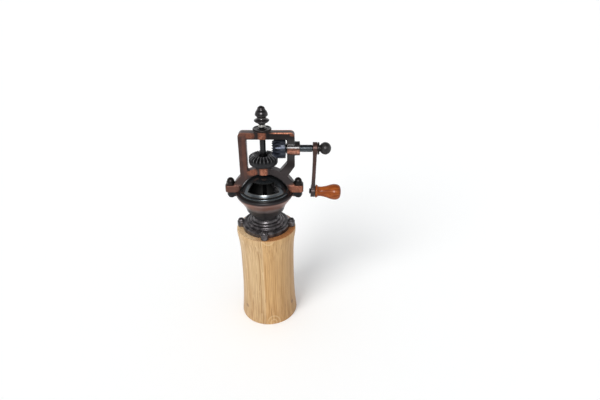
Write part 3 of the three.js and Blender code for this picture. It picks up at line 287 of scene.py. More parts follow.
# Where a setting holds two pairs, they are the values before and after, as ranged takes them
oakSettings = {
    "leftGrain": {"Pith": (-0.150, 0.060, 0), "Lean": (0.0, 0.004, 0.0), "Rings": 50.0,
                  "Wander": 0.0012, "Pore Scale": 640.0},
    "rightGrain": {"Pith": (0.130, 0.050, 0), "Lean": (0.0, -0.006, 0.0), "Rings": 54.0,
                   "Wander": 0.0009, "Pore Scale": 700.0},
    "tone": {"Scale": 110.0, "Contrast": 1.6}, "toneStretch": (1, 1, 0.12),
    "toneRange": ((0.2, 0.9), (0.0, 0.28)),
    "paleWood": (0.63, 0.452, 0.248, 1), "paleDark": (0.38, 0.218, 0.084, 1),
    "warmWood": (0.64, 0.405, 0.180, 1), "warmDark": (0.44, 0.232, 0.074, 1),
    "fleck": (0.80, 0.62, 0.38, 1), "fleckShare": 0.35, "fibreRange": (0.42, 0.68), "fibreShare": 0.3,
    "pore": (0.23, 0.125, 0.055, 1), "poreShare": 0.6,
    # The two top colours are painted light on the top faces, paler and bluer at the left, and painted shade
    # at the right
    "paintedTopLight": (1.24, 1.28, 1.38, 1), "paintedTopShade": (0.66, 0.43, 0.30, 1), "topLightToShade": (-0.018, 0.008),
    "endFacing": (0.6, 0.9), "sideFacing": (0.5, 0.2),
    # The foot colour is painted shade towards the foot, and the head colour painted light towards the top
    "paintedFootShade": (0.90, 0.86, 0.82, 1), "footShadeFade": (0.055, 0.0),
    "paintedHeadLight": (1.04, 1.06, 1.10, 1), "headLightFade": (0.055, 0.100),
    "joint": -0.0026, "jointBlur": 0.00008, "glueLine": (0.74, 0.56, 0.34, 1),
    "glueFade": ((0.0008, 0.0002), (0.0, 0.4)),
    "knots": ((-0.0427, -0.0186, 0.0174), (0.0079, -0.0137, 0.0190)),
    "knotFade": ((0.0030, 0.0014), (0.0, 0.85)),
    "growthArcs": ((-0.0125, -0.030, 0.002), (-0.0150, -0.030, 0.1180)), "arcStretch": (0.9, 0.4, 0.66),
    "arcGap": 0.0031, "arcLine": (0.22, 0.48), "arcFade": ((0.0076, 0.00646), (0.0, 0.42)),
    "roughness": (0.46, 0.60), "fibreRelief": 0.25, "bump": 0.35, "bumpDepth": 0.00012,
    "shine": {"Specular IOR Level": 0.5, "Sheen Weight": 0.12, "Sheen Roughness": 0.4},
}


def makeOak():
    choice = oakSettings
    material, tree, shader, position = startMaterial("oiledOak")
    place = partsOf(tree, position)
    joint = bodyAxis + choice["joint"]
    isRight = ranged(tree, place["X"], (joint - choice["jointBlur"], joint + choice["jointBlur"]))
    left = placeGroup(tree, timberGrain, {"Position": position, **choice["leftGrain"]})
    right = placeGroup(tree, timberGrain, {"Position": position, **choice["rightGrain"]})
    tone = placeGroup(tree, unevenTone, {
        "Position": stretched(tree, position, choice["toneStretch"]), **choice["tone"]})

    pale = mixed(tree, left["Rings"], choice["paleWood"], choice["paleDark"])
    pale = mixed(tree, times(tree, left["Fleck"], choice["fleckShare"]), pale, choice["fleck"])
    warm = mixed(tree, right["Rings"], choice["warmWood"], choice["warmDark"])
    wood = mixed(tree, isRight, pale, warm)
    fibre = mixed(tree, isRight, left["Fibre"], right["Fibre"])
    darkFibre = times(tree, ranged(tree, fibre, choice["fibreRange"]), choice["fibreShare"])
    wood = mixed(tree, darkFibre, wood, choice["paleDark"], "MULTIPLY")
    wood = mixed(tree, ranged(tree, tone["Tone"], *choice["toneRange"]), wood, choice["warmDark"])

    facing = partsOf(tree, addNode(tree, "ShaderNodeNewGeometry").outputs["Normal"])["Z"]
    # Painted light and painted shade on the upward faces: a paler, bluer light at the left and shade at the
    # right
    blend = ranged(tree, place["X"], [bodyAxis + reach for reach in choice["topLightToShade"]])
    topLighting = mixed(tree, blend, choice["paintedTopLight"], choice["paintedTopShade"])
    wood = mixed(tree, ranged(tree, facing, choice["endFacing"]), wood, topLighting, "MULTIPLY")
    # Painted shade darkens the wood towards the foot, and painted light lifts it towards the top
    wood = mixed(tree, ranged(tree, place["Z"], choice["footShadeFade"]), wood, choice["paintedFootShade"], "MULTIPLY")
    wood = mixed(tree, ranged(tree, place["Z"], choice["headLightFade"]), wood, choice["paintedHeadLight"], "MULTIPLY")

    fromJoint = calculate(tree, "ABSOLUTE", calculate(tree, "SUBTRACT", place["X"], joint))
    wood = mixed(tree, ranged(tree, fromJoint, *choice["glueFade"]), wood, choice["glueLine"])
    isSide = ranged(tree, facing, choice["sideFacing"])
    for centre in choice["growthArcs"]:
        offset = onVectors(tree, "SUBTRACT", position, centre)
        reach = lengthOf(tree, stretched(tree, offset, choice["arcStretch"]))
        turns = calculate(tree, "FRACT", calculate(tree, "DIVIDE", reach, choice["arcGap"]))
        fromMiddle = calculate(tree, "ABSOLUTE", calculate(tree, "SUBTRACT", turns, 0.5))
        near = times(tree, ranged(tree, reach, *choice["arcFade"]), isSide)
        arcMark = times(tree, ranged(tree, fromMiddle, choice["arcLine"]), near)
        wood = mixed(tree, arcMark, wood, choice["glueLine"])
    for centre in choice["knots"]:
        away = lengthOf(tree, onVectors(tree, "SUBTRACT", position, centre))
        wood = mixed(tree, ranged(tree, away, *choice["knotFade"]), wood, choice["pore"])
    pores = calculate(tree, "MAXIMUM", left["Pores"], right["Pores"])
    relief = calculate(tree, "SUBTRACT", times(tree, fibre, choice["fibreRelief"]), pores)
    connect(tree, shader, {
        "Base Color": mixed(tree, times(tree, pores, choice["poreShare"]), wood, choice["pore"]),
        "Roughness": ranged(tree, tone["Grain"], grainRange, choice["roughness"]),
        "Normal": bumped(tree, relief, choice["bump"], choice["bumpDepth"]),
        **choice["shine"],
    })
    return material


knobSettings = {
    "light": (0.35, 0.088, 0.016, 1), "dark": (0.20, 0.042, 0.008, 1), "pore": (0.10, 0.022, 0.006, 1),
    "stretch": (0.14, 1, 1), "grain": {"scale": 520.0, "roughness": 0.6}, "grainRange": (0.38, 0.66),
    "broad": {"scale": 130.0, "detail": 2.0, "roughness": 0.5},
    "broadRange": ((0.45, 0.75), (0.0, 0.5)),
    "pores": {"scale": 1500.0, "detail": 2.0}, "poreRange": ((0.66, 0.74), (0.0, 0.6)),
    "roughness": ((0.3, 0.7), (0.3, 0.4)), "bump": 0.12, "bumpDepth": 0.0001,
    "varnish": {"Coat Weight": 0.30, "Coat Roughness": 0.08, "Specular IOR Level": 0.10},
}


def makeKnobWood():
    choice = knobSettings
    material, tree, shader, position = startMaterial("varnishedKnobWood")
    along = stretched(tree, position, choice["stretch"])
    grain = noise(tree, along, **choice["grain"])
    broad = noise(tree, along, **choice["broad"])
    pores = noise(tree, along, **choice["pores"])
    wood = mixed(tree, ranged(tree, grain, choice["grainRange"]), choice["light"], choice["dark"])
    wood = mixed(tree, ranged(tree, broad, *choice["broadRange"]), wood, choice["dark"])
    connect(tree, shader, {
        "Base Color": mixed(tree, ranged(tree, pores, *choice["poreRange"]), wood, choice["pore"]),
        "Roughness": ranged(tree, broad, *choice["roughness"]),
        "Normal": bumped(tree, grain, choice["bump"], choice["bumpDepth"]),
        **choice["varnish"],
    })
    return material


copperSettings = {
    "oxide": (0.014, 0.014, 0.015, 1), "greyOxide": (0.046, 0.041, 0.042, 1),
    "greyHeight": (0.186, 0.178),
    "brown": (0.100, 0.054, 0.045, 1), "brownLeast": 0.12, "brownHeight": ((0.159, 0.176), (0.25, 1.0)),
    "brownTone": ((0.2, 0.85), (0.55, 1.0)),
    "copper": (0.33, 0.122, 0.072, 1), "bright": (0.54, 0.225, 0.138, 1), "brightFrom": (0.8, 1.2),
    "tone": {"Scale": 150.0, "Contrast": 1.8},
    "edges": {"Start": 0.545, "Width": 0.05, "Breakup": 0.7, "Scale": 300.0}, "edgeShare": 0.3,
    "ragged": 0.5,
    "metallic": ((0.0, 0.6), (0.5, 0.75)), "roughness": ((0.0, 0.8), (0.36, 0.42)),
    "grainRoughness": (-0.05, 0.08),
    "bump": 0.22, "bumpDepth": 0.00009, "specular": 0.22, "polishRoughness": 0.07,
}

# Places on the gear frame, in metres about the row's origin, where the oxide is rubbed through to copper
framePatches = [
    {"Centre": (-0.0306, 0.0048, 0.2150), "Half Size": (0.0044, 0.0018, 0.0028), "Strength": 0.74},
    {"Centre": (-0.0380, 0.0046, 0.2170), "Half Size": (0.0048, 0.0020, 0.0026), "Strength": 0.36},
    {"Centre": (-0.0188, 0.0082, 0.2160), "Half Size": (0.0037, 0.0026, 0.0070), "Strength": 0.98},
    {"Centre": (0.0014, 0.0044, 0.2180), "Half Size": (0.0115, 0.0020, 0.0012), "Strength": 1.30},
    {"Centre": (0.0100, 0.0044, 0.2170), "Half Size": (0.0028, 0.0020, 0.0024), "Strength": 0.80},
    {"Centre": (-0.0187, 0.0082, 0.1783), "Half Size": (0.0038, 0.0026, 0.0080), "Strength": 1.28},
    {"Centre": (-0.0300, 0.0046, 0.1772), "Half Size": (0.0052, 0.0020, 0.0036), "Strength": 0.94},
    {"Centre": (0.0106, 0.0086, 0.1966), "Half Size": (0.0130, 0.0029, 0.0056), "Strength": 1.50},
    {"Centre": (-0.0530, 0.0058, 0.1590), "Half Size": (0.0120, 0.0016, 0.0060), "Strength": 0.42},
    {"Centre": (0.0165, 0.0058, 0.1590), "Half Size": (0.0120, 0.0016, 0.0060), "Strength": 1.00},
    {"Centre": (-0.0368, 0.0046, 0.1950), "Half Size": (0.0022, 0.0018, 0.0220), "Strength": 0.25},
]
bearingPolish = {"Centre": (0.0106, 0.0060, 0.2009), "Half Size": (0.0130, 0.0060, 0.0110), "Ragged": 0.0,
                 "Strength": 1.0}


# Dark oxide over copper, browner at the first of the two x values, and rubbed bright along edges and in
# patches
def makeCopper(name, brownBetween, patches=(), polish=None):
    choice = copperSettings
    material, tree, shader, position = startMaterial(name)
    place = partsOf(tree, position)
    tone = placeGroup(tree, unevenTone, {"Position": position, **choice["tone"]})
    edges = placeGroup(tree, edgeWear, {"Position": position, **choice["edges"]})
    rubbed = times(tree, edges["Mask"], choice["edgeShare"])
    for patch in patches:
        given = {"Position": position, "Ragged": choice["ragged"], **patch}
        mask = placeGroup(tree, wearPatch, given)["Mask"]
        rubbed = calculate(tree, "MAXIMUM", rubbed, mask)
    side = ranged(tree, place["X"], brownBetween, (1.0, choice["brownLeast"]))
    side = times(tree, side, ranged(tree, place["Z"], *choice["brownHeight"]))
    brownShare = times(tree, side, ranged(tree, tone["Tone"], *choice["brownTone"]))
    greyed = ranged(tree, place["Z"], choice["greyHeight"])
    oxide = mixed(tree, greyed, choice["oxide"], choice["greyOxide"])
    ground = mixed(tree, brownShare, oxide, choice["brown"])
    partly = mixed(tree, clamped(tree, rubbed), ground, choice["copper"])
    connect(tree, shader, {
        "Base Color": mixed(tree, ranged(tree, rubbed, choice["brightFrom"]), partly, choice["bright"]),
        "Metallic": ranged(tree, rubbed, *choice["metallic"]),
        "Roughness": calculate(tree, "ADD", ranged(tree, rubbed, *choice["roughness"]),
                               ranged(tree, tone["Grain"], grainRange, choice["grainRoughness"])),
        "Normal": bumped(tree, tone["Grain"], choice["bump"], choice["bumpDepth"]),
        "Specular IOR Level": choice["specular"],
    })
    if polish:
        shine = placeGroup(tree, wearPatch, {"Position": position, **polish})["Mask"]
        connect(tree, shader, {"Coat Weight": shine, "Coat Roughness": choice["polishRoughness"]})
    return material


# Heights are above the table and the lugs' reach is from the body's axis, in metres
bowlSettings = {
    "grey": (0.350, 0.305, 0.300, 1), "neckShadeAndRimDark": (0.026, 0.023, 0.024, 1),
    "brownTone": ((0.2, 0.9), (0.1, 0.5)),
    "bandLow": (0.1415, 0.1465), "bandHigh": (0.1538, 0.1516), "bandTone": ((0.1, 0.9), (0.30, 0.65)),
    "neckShadeFade": (0.1435, 0.1385), "rimFade": (0.1516, 0.1528), "lugFrom": (0.0288, 0.0302),
    "tone": {"Scale": 90.0, "Contrast": 1.6},
    "edges": {"Start": 0.56, "Width": 0.05, "Breakup": 0.6, "Scale": 240.0}, "edgeShare": 0.25,
    "metallic": 0.6, "roughness": (0.30, 0.42), "bump": 0.12, "bumpDepth": 0.00008,
}


# The bowl's casting has a paler rubbed band round its upper flank
def makeBowlCopper():
    choice = bowlSettings
    material, tree, shader, position = startMaterial("bowlCopper")
    height = partsOf(tree, position)["Z"]
    tone = placeGroup(tree, unevenTone, {"Position": position, **choice["tone"]})
    edges = placeGroup(tree, edgeWear, {"Position": position, **choice["edges"]})
    band = times(tree, ranged(tree, height, choice["bandLow"]), ranged(tree, height, choice["bandHigh"]))
    rubbed = times(tree, band, ranged(tree, tone["Tone"], *choice["bandTone"]))
    rubbed = calculate(tree, "MAXIMUM", rubbed, times(tree, edges["Mask"], choice["edgeShare"]))
    fromAxis = onVectors(tree, "SUBTRACT", position, (bodyAxis, 0, 0))
    reach = lengthOf(tree, onVectors(tree, "MULTIPLY", fromAxis, (1, 1, 0)))
    brownShare = ranged(tree, tone["Tone"], *choice["brownTone"])
    ground = mixed(tree, brownShare, choice["grey"], copperSettings["brown"])
    # Painted shade darkens the lower wall, where the neck lies in the bowl's shadow, and the rim is
    # darkened too
    dark = calculate(tree, "MAXIMUM", ranged(tree, height, choice["neckShadeFade"]),
                     ranged(tree, height, choice["rimFade"]))
    ground = mixed(tree, dark, ground, choice["neckShadeAndRimDark"])
    skin = mixed(tree, rubbed, ground, copperSettings["copper"])
    connect(tree, shader, {
        "Base Color": mixed(tree, ranged(tree, reach, choice["lugFrom"]), skin, copperSettings["oxide"]),
        "Metallic": choice["metallic"],
        "Roughness": ranged(tree, tone["Grain"], grainRange, choice["roughness"]),
        "Normal": bumped(tree, tone["Grain"], choice["bump"], choice["bumpDepth"]),
    })
    return material


# What the dark plated finishes share, and then what each has of its own: base and lift are the two ends of
# its uneven tone, and worn is the colour that shows through at its edges
darkMetal = {
    "tone": {"Scale": 180.0, "Contrast": 1.5}, "toneRange": (0.2, 0.9),
    "edges": {"Start": 0.55, "Width": 0.06, "Breakup": 0.6, "Scale": 320.0},
    "dirtAndShade": (0.004, 0.004, 0.004, 1), "dirtAndShadeShare": 0.8, "bumpDepth": 0.00006, "specular": 0.3,
}
darkFinishes = {
    "darkBronze": {"base": (0.012, 0.011, 0.011, 1), "lift": (0.034, 0.025, 0.023, 1),
                   "roughness": (0.25, 0.33), "metallic": 0.6, "bump": 0.15, "wear": 0.35,
                   "worn": (0.20, 0.10, 0.065, 1)},
    "flangeBronze": {"base": (0.030, 0.028, 0.030, 1), "lift": (0.180, 0.165, 0.170, 1),
                     "roughness": (0.16, 0.24), "metallic": 0.7, "bump": 0.40, "wear": 0.3,
                     "worn": (0.20, 0.12, 0.09, 1)},
    "glossBlack": {"base": (0.019, 0.019, 0.021, 1), "lift": (0.040, 0.038, 0.040, 1),
                   "roughness": (0.14, 0.22), "metallic": 0.8, "bump": 0.03, "wear": 0.3,
                   "worn": (0.20, 0.16, 0.14, 1)},
    "finialBlack": {"base": (0.034, 0.032, 0.034, 1), "lift": (0.090, 0.082, 0.082, 1),
                    "roughness": (0.15, 0.23), "metallic": 0.8, "bump": 0.06, "wear": 0.4,
                    "worn": (0.22, 0.18, 0.16, 1)},
    "ballBlack": {"base": (0.026, 0.025, 0.026, 1), "lift": (0.056, 0.053, 0.053, 1),
                  "roughness": (0.33, 0.41), "metallic": 0.5, "bump": 0.08, "wear": 0.3,
                  "worn": (0.20, 0.16, 0.14, 1)},
    "domeBlack": {"base": (0.072, 0.083, 0.091, 1), "lift": (0.098, 0.112, 0.122, 1),
                  "roughness": (0.14, 0.22), "metallic": 0.9, "bump": 0.02, "wear": 0.35,
                  "worn": (0.22, 0.19, 0.15, 1)},
    # A near-black finish, painted shade for the insides of the lid and the bowl
    "insideShadeBlack": {"base": (0.006, 0.006, 0.006, 1), "lift": (0.012, 0.011, 0.010, 1),
                    "roughness": (0.47, 0.55), "metallic": 0.2, "bump": 0.2, "wear": 0.0,
                    "worn": (0.1, 0.1, 0.1, 1)},
    "gearBlack": {"base": (0.016, 0.016, 0.018, 1), "lift": (0.034, 0.034, 0.037, 1),
                  "roughness": (0.35, 0.43), "metallic": 0.35, "bump": 0.3, "wear": 0.9,
                  "worn": (0.42, 0.42, 0.43, 1)},
    "pinionBlack": {"base": (0.022, 0.026, 0.038, 1), "lift": (0.046, 0.053, 0.074, 1),
                    "roughness": (0.30, 0.38), "metallic": 0.6, "bump": 0.22, "wear": 0.3,
                    "worn": (0.16, 0.17, 0.20, 1)},
}


def makeDarkMetal(name, finish):
    shared = darkMetal
    material, tree, shader, position = startMaterial(name)
    tone = placeGroup(tree, unevenTone, {"Position": position, **shared["tone"]})
    edges = placeGroup(tree, edgeWear, {"Position": position, **shared["edges"]})
    ground = mixed(tree, ranged(tree, tone["Tone"], shared["toneRange"]), finish["base"], finish["lift"])
    # The hollows are darkened towards black, as dirt and painted shade
    ground = mixed(tree, times(tree, edges["Hollow"], shared["dirtAndShadeShare"]), ground, shared["dirtAndShade"])
    connect(tree, shader, {
        "Base Color": mixed(tree, times(tree, edges["Mask"], finish["wear"]), ground, finish["worn"]),
        "Metallic": finish["metallic"],
        "Roughness": ranged(tree, tone["Grain"], grainRange, finish["roughness"]),
        "Normal": bumped(tree, tone["Grain"], finish["bump"], shared["bumpDepth"]),
        "Specular IOR Level": shared["specular"],
    })
    return material


steel = {"tone": {"Scale": 260.0, "Contrast": 1.5}, "stretch": (1, 1, 6), "metallic": 0.5, "bump": 0.1,
         "bumpDepth": 0.00004}
steelFinishes = {
    "brightSteel": {"light": (0.74, 0.73, 0.70, 1), "dark": (0.45, 0.44, 0.42, 1),
                    "roughness": (0.20, 0.35)},
    "burrSteel": {"light": (0.42, 0.42, 0.43, 1), "dark": (0.26, 0.26, 0.27, 1),
                  "roughness": (0.35, 0.50)},
}


# Steel with fine turning marks
def makeSteel(name, finish):
    material, tree, shader, position = startMaterial(name)
    along = stretched(tree, position, steel["stretch"])
    tone = placeGroup(tree, unevenTone, {"Position": along, **steel["tone"]})
    connect(tree, shader, {
        "Base Color": mixed(tree, tone["Tone"], finish["dark"], finish["light"]),
        "Metallic": steel["metallic"],
        "Roughness": ranged(tree, tone["Grain"], grainRange, finish["roughness"]),
        "Normal": bumped(tree, tone["Grain"], steel["bump"], steel["bumpDepth"]),
    })
    return material


finishes = {
    "oiledOak": makeOak(),
    "knobWood": makeKnobWood(),
    "frameCopper": makeCopper("frameCopper", (-0.0360, -0.0240), framePatches, bearingPolish),
    "armCopper": makeCopper("armCopper", (0.040, 0.060)),
    "bowlCopper": makeBowlCopper(),
}
for finishName, finish in darkFinishes.items():
    finishes[finishName] = makeDarkMetal(finishName, finish)
for finishName, finish in steelFinishes.items():
    finishes[finishName] = makeSteel(finishName, finish)
print("materials made")


# Meshes are worked in millimetres about the body's axis and then moved into the row frame

alongX = Matrix.Rotation(math.pi / 2, 4, "Y")
standing = Matrix.Rotation(math.pi / 2, 4, "X")


def movedTo(x, y, z):
    return Matrix.Translation((x, y, z))


def raisedBy(height):
    return movedTo(0, 0, height)


def turnedBy(degrees):
    return Matrix.Rotation(math.radians(degrees), 4, "Z")


def linkObject(name, data):
    made = bpy.data.objects.new(name, data)
    bpy.context.scene.collection.objects.link(made)
    return made


def meshFrom(work, name, place=None):
    mesh = bpy.data.meshes.new(name)
    work.to_mesh(mesh)
    work.free()
    if place is not None:
        mesh.transform(place)
    return mesh


# Edges that bend by more than the sharp angle, in degrees, stay crisp
def finishMesh(mesh, name, finish, body, node, sharpAngle=38.0):
    mesh.transform(Matrix.Translation((bodyAxis, 0, 0)) @ Matrix.Scale(millimetre, 4))
    work = bmesh.new()
    work.from_mesh(mesh)
    bmesh.ops.recalc_face_normals(work, faces=work.faces)
    limit = math.radians(sharpAngle)
    for edge in work.edges:
        edge.smooth = len(edge.link_faces) != 2 or edge.calc_face_angle() < limit
    for face in work.faces:
        face.smooth = True
    work.to_mesh(mesh)
    work.free()
    mesh.materials.clear()
    mesh.materials.append(finishes[finish])
    mesh.name = name
    made = linkObject(name, mesh)
    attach(made, body)
    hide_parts(node)
    return made


# Rounds the edges that bend by more than the angle, in degrees; the width is in millimetres
def roundEdges(piece, width, segments, angle):
    bevel = piece.modifiers.new("edgeRound", "BEVEL")
    bevel.width = width * millimetre
    bevel.segments = segments
    bevel.limit_method = "ANGLE"
    bevel.angle_limit = math.radians(angle)


# Gives the faces that the test picks a near-black finish, painted shade for an inside
def paintInsideShade(piece, isInside):
    piece.data.materials.append(finishes["insideShadeBlack"])
    for face in piece.data.polygons:
        if isInside(face):
            face.material_index = 1


roundingLimits = {"least": 1e-6, "straight": math.radians(160), "share": 0.45}


# Each sharp corner of a profile is turned into a short curve
def rounded(profile, radius, steps=3, closed=False):
    limits = roundingLimits
    points = [Vector(point) for point in profile]
    count = len(points)
    result = []
    for i, point in enumerate(points):
        if not closed and i in (0, count - 1):
            result.append(point)
            continue
        back, ahead = points[i - 1] - point, points[(i + 1) % count] - point
        isShort = min(back.length, ahead.length) < limits["least"]
        if isShort or back.angle(ahead) > limits["straight"]:
            result.append(point)
            continue
        reach = min(radius, back.length * limits["share"], ahead.length * limits["share"])
        start, end = point + back.normalized() * reach, point + ahead.normalized() * reach
        for step in range(steps + 1):
            share = step / steps
            first, second = start.lerp(point, share), point.lerp(end, share)
            result.append(first.lerp(second, share))
    return [tuple(point) for point in result]


# A smooth curve through every point of a run
def flowing(points, steps=5):
    places = [Vector(point) for point in points]
    last = len(places) - 1
    result = []
    for i in range(last):
        start, end = places[i], places[i + 1]
        before, after = places[max(0, i - 1)], places[min(last, i + 2)]
        for step in range(steps):
            t = step / steps
            square = (2 * before - 5 * start + 4 * end - after) * t * t
            cube = (3 * start - before - 3 * end + after) * t ** 3
            result.append(0.5 * (2 * start + (end - before) * t + square + cube))
    result.append(places[-1])
    return [tuple(point) for point in result]


def arcPoints(centre, radius, start, end, steps=8):
    angles = [math.radians(start + (end - start) * i / steps) for i in range(steps + 1)]
    return [(centre[0] + radius * math.cos(a), centre[1] + radius * math.sin(a)) for a in angles]


def circlePoints(radius, count, startAngle=0.0):
    angles = [2 * math.pi * i / count + startAngle for i in range(count)]
    return [(radius * math.cos(a), radius * math.sin(a)) for a in angles]


def rectangle(halfLength, halfWidth):
    return [
        (-halfLength, -halfWidth), (halfLength, -halfWidth),
        (halfLength, halfWidth), (-halfLength, halfWidth)]


# A profile of radius and height turned all the way round. It is closed to a ring unless it starts on the
# axis.
def turnedMesh(profile, sides, place=None):
    onAxis = 1e-5
    work = bmesh.new()
    rings = []
    for radius, height in profile:
        if radius < onAxis:
            rings.append([work.verts.new((0, 0, height))])
        else:
            rings.append([work.verts.new((x, y, height)) for x, y in circlePoints(radius, sides)])
    isRing = profile[0][0] > onAxis
    for i in range(len(rings) if isRing else len(rings) - 1):
        near, far = rings[i], rings[(i + 1) % len(rings)]
        if len(near) == 1 and len(far) == 1:
            continue
        for j in range(sides):
            k = (j + 1) % sides
            corners = [near[j % len(near)], near[k % len(near)], far[k % len(far)], far[j % len(far)]]
            work.faces.new(list(dict.fromkeys(corners)))
    bmesh.ops.recalc_face_normals(work, faces=work.faces)
    return meshFrom(work, "turned", place)


def rodMesh(radius, low, high, sides, place=None):
    return turnedMesh([(0, low), (radius, low), (radius, high), (0, high)], sides, place)


# A flat outline given thickness; the outline's points are in the plane of the first two axes
def plateMesh(outline, low, high, place=None):
    work = bmesh.new()
    bottom = [work.verts.new((x, y, low)) for x, y in outline]
    top = [work.verts.new((x, y, high)) for x, y in outline]
    work.faces.new(bottom)
    work.faces.new(top)
    for i in range(len(outline)):
        j = (i + 1) % len(outline)
        work.faces.new([bottom[i], bottom[j], top[j], top[i]])
    bmesh.ops.recalc_face_normals(work, faces=work.faces)
    bmesh.ops.triangulate(work, faces=work.faces)
    return meshFrom(work, "plate", place)


def loftedMesh(sections, isRing=False):
    work = bmesh.new()
    rings = [[work.verts.new(point) for point in section] for section in sections]
    size = len(rings[0])
    for i in range(len(rings) if isRing else len(rings) - 1):
        near, far = rings[i], rings[(i + 1) % len(rings)]
        for j in range(size):
            k = (j + 1) % size
            work.faces.new([near[j], near[k], far[k], far[j]])
    if not isRing:
        work.faces.new(rings[0])
        work.faces.new(rings[-1])
    bmesh.ops.recalc_face_normals(work, faces=work.faces)
    return meshFrom(work, "lofted")


# A profile swept part of the way round, in degrees from the front towards the crank
def sweptMesh(profile, fromAngle, toAngle, steps):
    sections = []
    for i in range(steps + 1):
        a = math.radians(fromAngle + (toAngle - fromAngle) * i / steps)
        sections.append([
            (radius * math.sin(a), -radius * math.cos(a), height) for radius, height in profile])
    return loftedMesh(sections)


# Joins and cuts meshes, then rounds the result as a casting is rounded where a voxel size is given
def castMesh(added, removed=(), voxel=None, softening=0):
    base = linkObject("casting", added[0])
    helpers = [base]
    for operation, meshes in (("UNION", added[1:]), ("DIFFERENCE", removed)):
        for mesh in meshes:
            helpers.append(linkObject("helper", mesh))
            modifier = base.modifiers.new(operation, "BOOLEAN")
            modifier.operation = operation
            modifier.solver = "EXACT"
            modifier.object = helpers[-1]
    if voxel:
        remesh = base.modifiers.new("remesh", "REMESH")
        remesh.mode = "VOXEL"
        remesh.voxel_size = voxel
        soften = base.modifiers.new("soften", "SMOOTH")
        soften.factor = 0.5
        soften.iterations = softening
    bpy.context.view_layer.update()
    evaluated = base.evaluated_get(bpy.context.evaluated_depsgraph_get())
    mesh = bpy.data.meshes.new_from_object(evaluated)
    for helper in helpers:
        old = helper.data
        bpy.data.objects.remove(helper)
        bpy.data.meshes.remove(old)
    return mesh


# Sizes are in millimetres. A height is above the piece's own seat, and a seat is above the table.

# Turned oak body

oakBody = {
    "height": 113.0, "footRadius": 31.7, "waistRadius": 28.7, "waistHeight": 78.0, "headRadius": 31.1,
    "headHeight": 108.0, "footCurve": 3.0, "headCurve": 2.2, "edge": 0.7, "edgeRound": 0.42,
    "bore": 19.0, "recess": 24.0, "recessDepth": 8.0, "rings": 32, "sides": 144,
}


def makeOakBody():
    size = oakBody
    edge, height, waist, rings = size["edge"], size["height"], size["waistRadius"], size["rings"]
    outside = []
    for i in range(rings + 1):
        level = edge + (size["headHeight"] - edge) * i / rings
        if level < size["waistHeight"]:
            swell = (1 - level / size["waistHeight"]) ** size["footCurve"]
            outside.append((waist + (size["footRadius"] - waist) * swell, level))
        else:
            climb = (level - size["waistHeight"]) / (size["headHeight"] - size["waistHeight"])
            outside.append((waist + (size["headRadius"] - waist) * climb ** size["headCurve"], level))
    profile = [
        (size["recess"], 0), (size["footRadius"] - size["edgeRound"], 0), *outside,
        (size["headRadius"], height - edge), (size["headRadius"] - edge, height), (size["bore"], height),
        (size["bore"], size["recessDepth"]), (size["recess"], size["recessDepth"]),
    ]
    mesh = turnedMesh(rounded(profile, size["edgeRound"], closed=True), size["sides"])
    finishMesh(mesh, "oakBody", "oiledOak", "grinder", "wood_body")


# Stepped flange with four screw lugs

flange = {
    "seat": oakBody["height"], "spigot": (16.0, 18.7, 5.0), "throat": 9.6, "throatFoot": 7.0,
    "seatRadius": 11.3, "seatFloor": 10.0, "top": 13.0,
    "outside": ((24.7, 0), (24.7, 4.8), (24.3, 5.9), (22.6, 6.5), (19.5, 6.1), (19.45, 6.8),
                (19.2, 7.8), (18.5, 8.4), (17.2, 8.5), (16.5, 8.0), (16.4, 8.7), (16.15, 9.6),
                (15.5, 10.15), (14.3, 10.2), (13.65, 9.5), (13.6, 10.2), (13.3, 11.0), (12.85, 11.6),
                (12.7, 12.2), (12.7, 13.0)),
    "lugCentre": 26.4, "lugRadius": 4.1, "lugHeight": 6.4, "lugRound": 0.8, "lugs": 4, "screwHole": 1.9,
    "screwSeat": 3.6, "holeTop": 14.0, "sides": 128, "lugSides": 40, "voxel": 0.36, "softening": 2,
}
lugPlaces = circlePoints(flange["lugCentre"], flange["lugs"], -math.pi / 2)


def makeFlange():
    size = flange
    inner, outer, depth = size["spigot"]
    profile = [
        (inner, -depth), (outer, -depth), (outer, 0), *size["outside"], (size["seatRadius"], size["top"]),
        (size["seatRadius"], size["seatFloor"]), (size["throat"], size["seatFloor"]),
        (size["throat"], size["throatFoot"]), (inner, 0)]
    lugProfile = rounded([(0, 0), (size["lugRadius"], 0), (size["lugRadius"], size["lugHeight"]),
                          (0, size["lugHeight"])], size["lugRound"])
    lugs, holes = [], []
    for x, y in lugPlaces:
        place = movedTo(x, y, 0)
        lugs.append(turnedMesh(lugProfile, size["lugSides"], place))
        for radius, low in ((size["screwHole"], -depth), (size["screwSeat"], size["lugHeight"])):
            holes.append(rodMesh(radius, low, size["holeTop"], size["lugSides"], place))
    mesh = castMesh([turnedMesh(profile, size["sides"]), *lugs], holes, size["voxel"], size["softening"])
    mesh.transform(raisedBy(size["seat"]))
    finishMesh(mesh, "castFlange", "flangeBronze", "grinder", "base_flange", 180)


roundScrew = {
    "head": 3.3, "headHeight": 2.9, "rimShare": 0.25, "crownSteps": 10, "shank": 1.6, "depth": 17.4,
    "slot": 0.75, "slotDepth": 1.1, "slotReach": 5.0, "firstTurn": 35, "nextTurn": 73, "sides": 48,
}


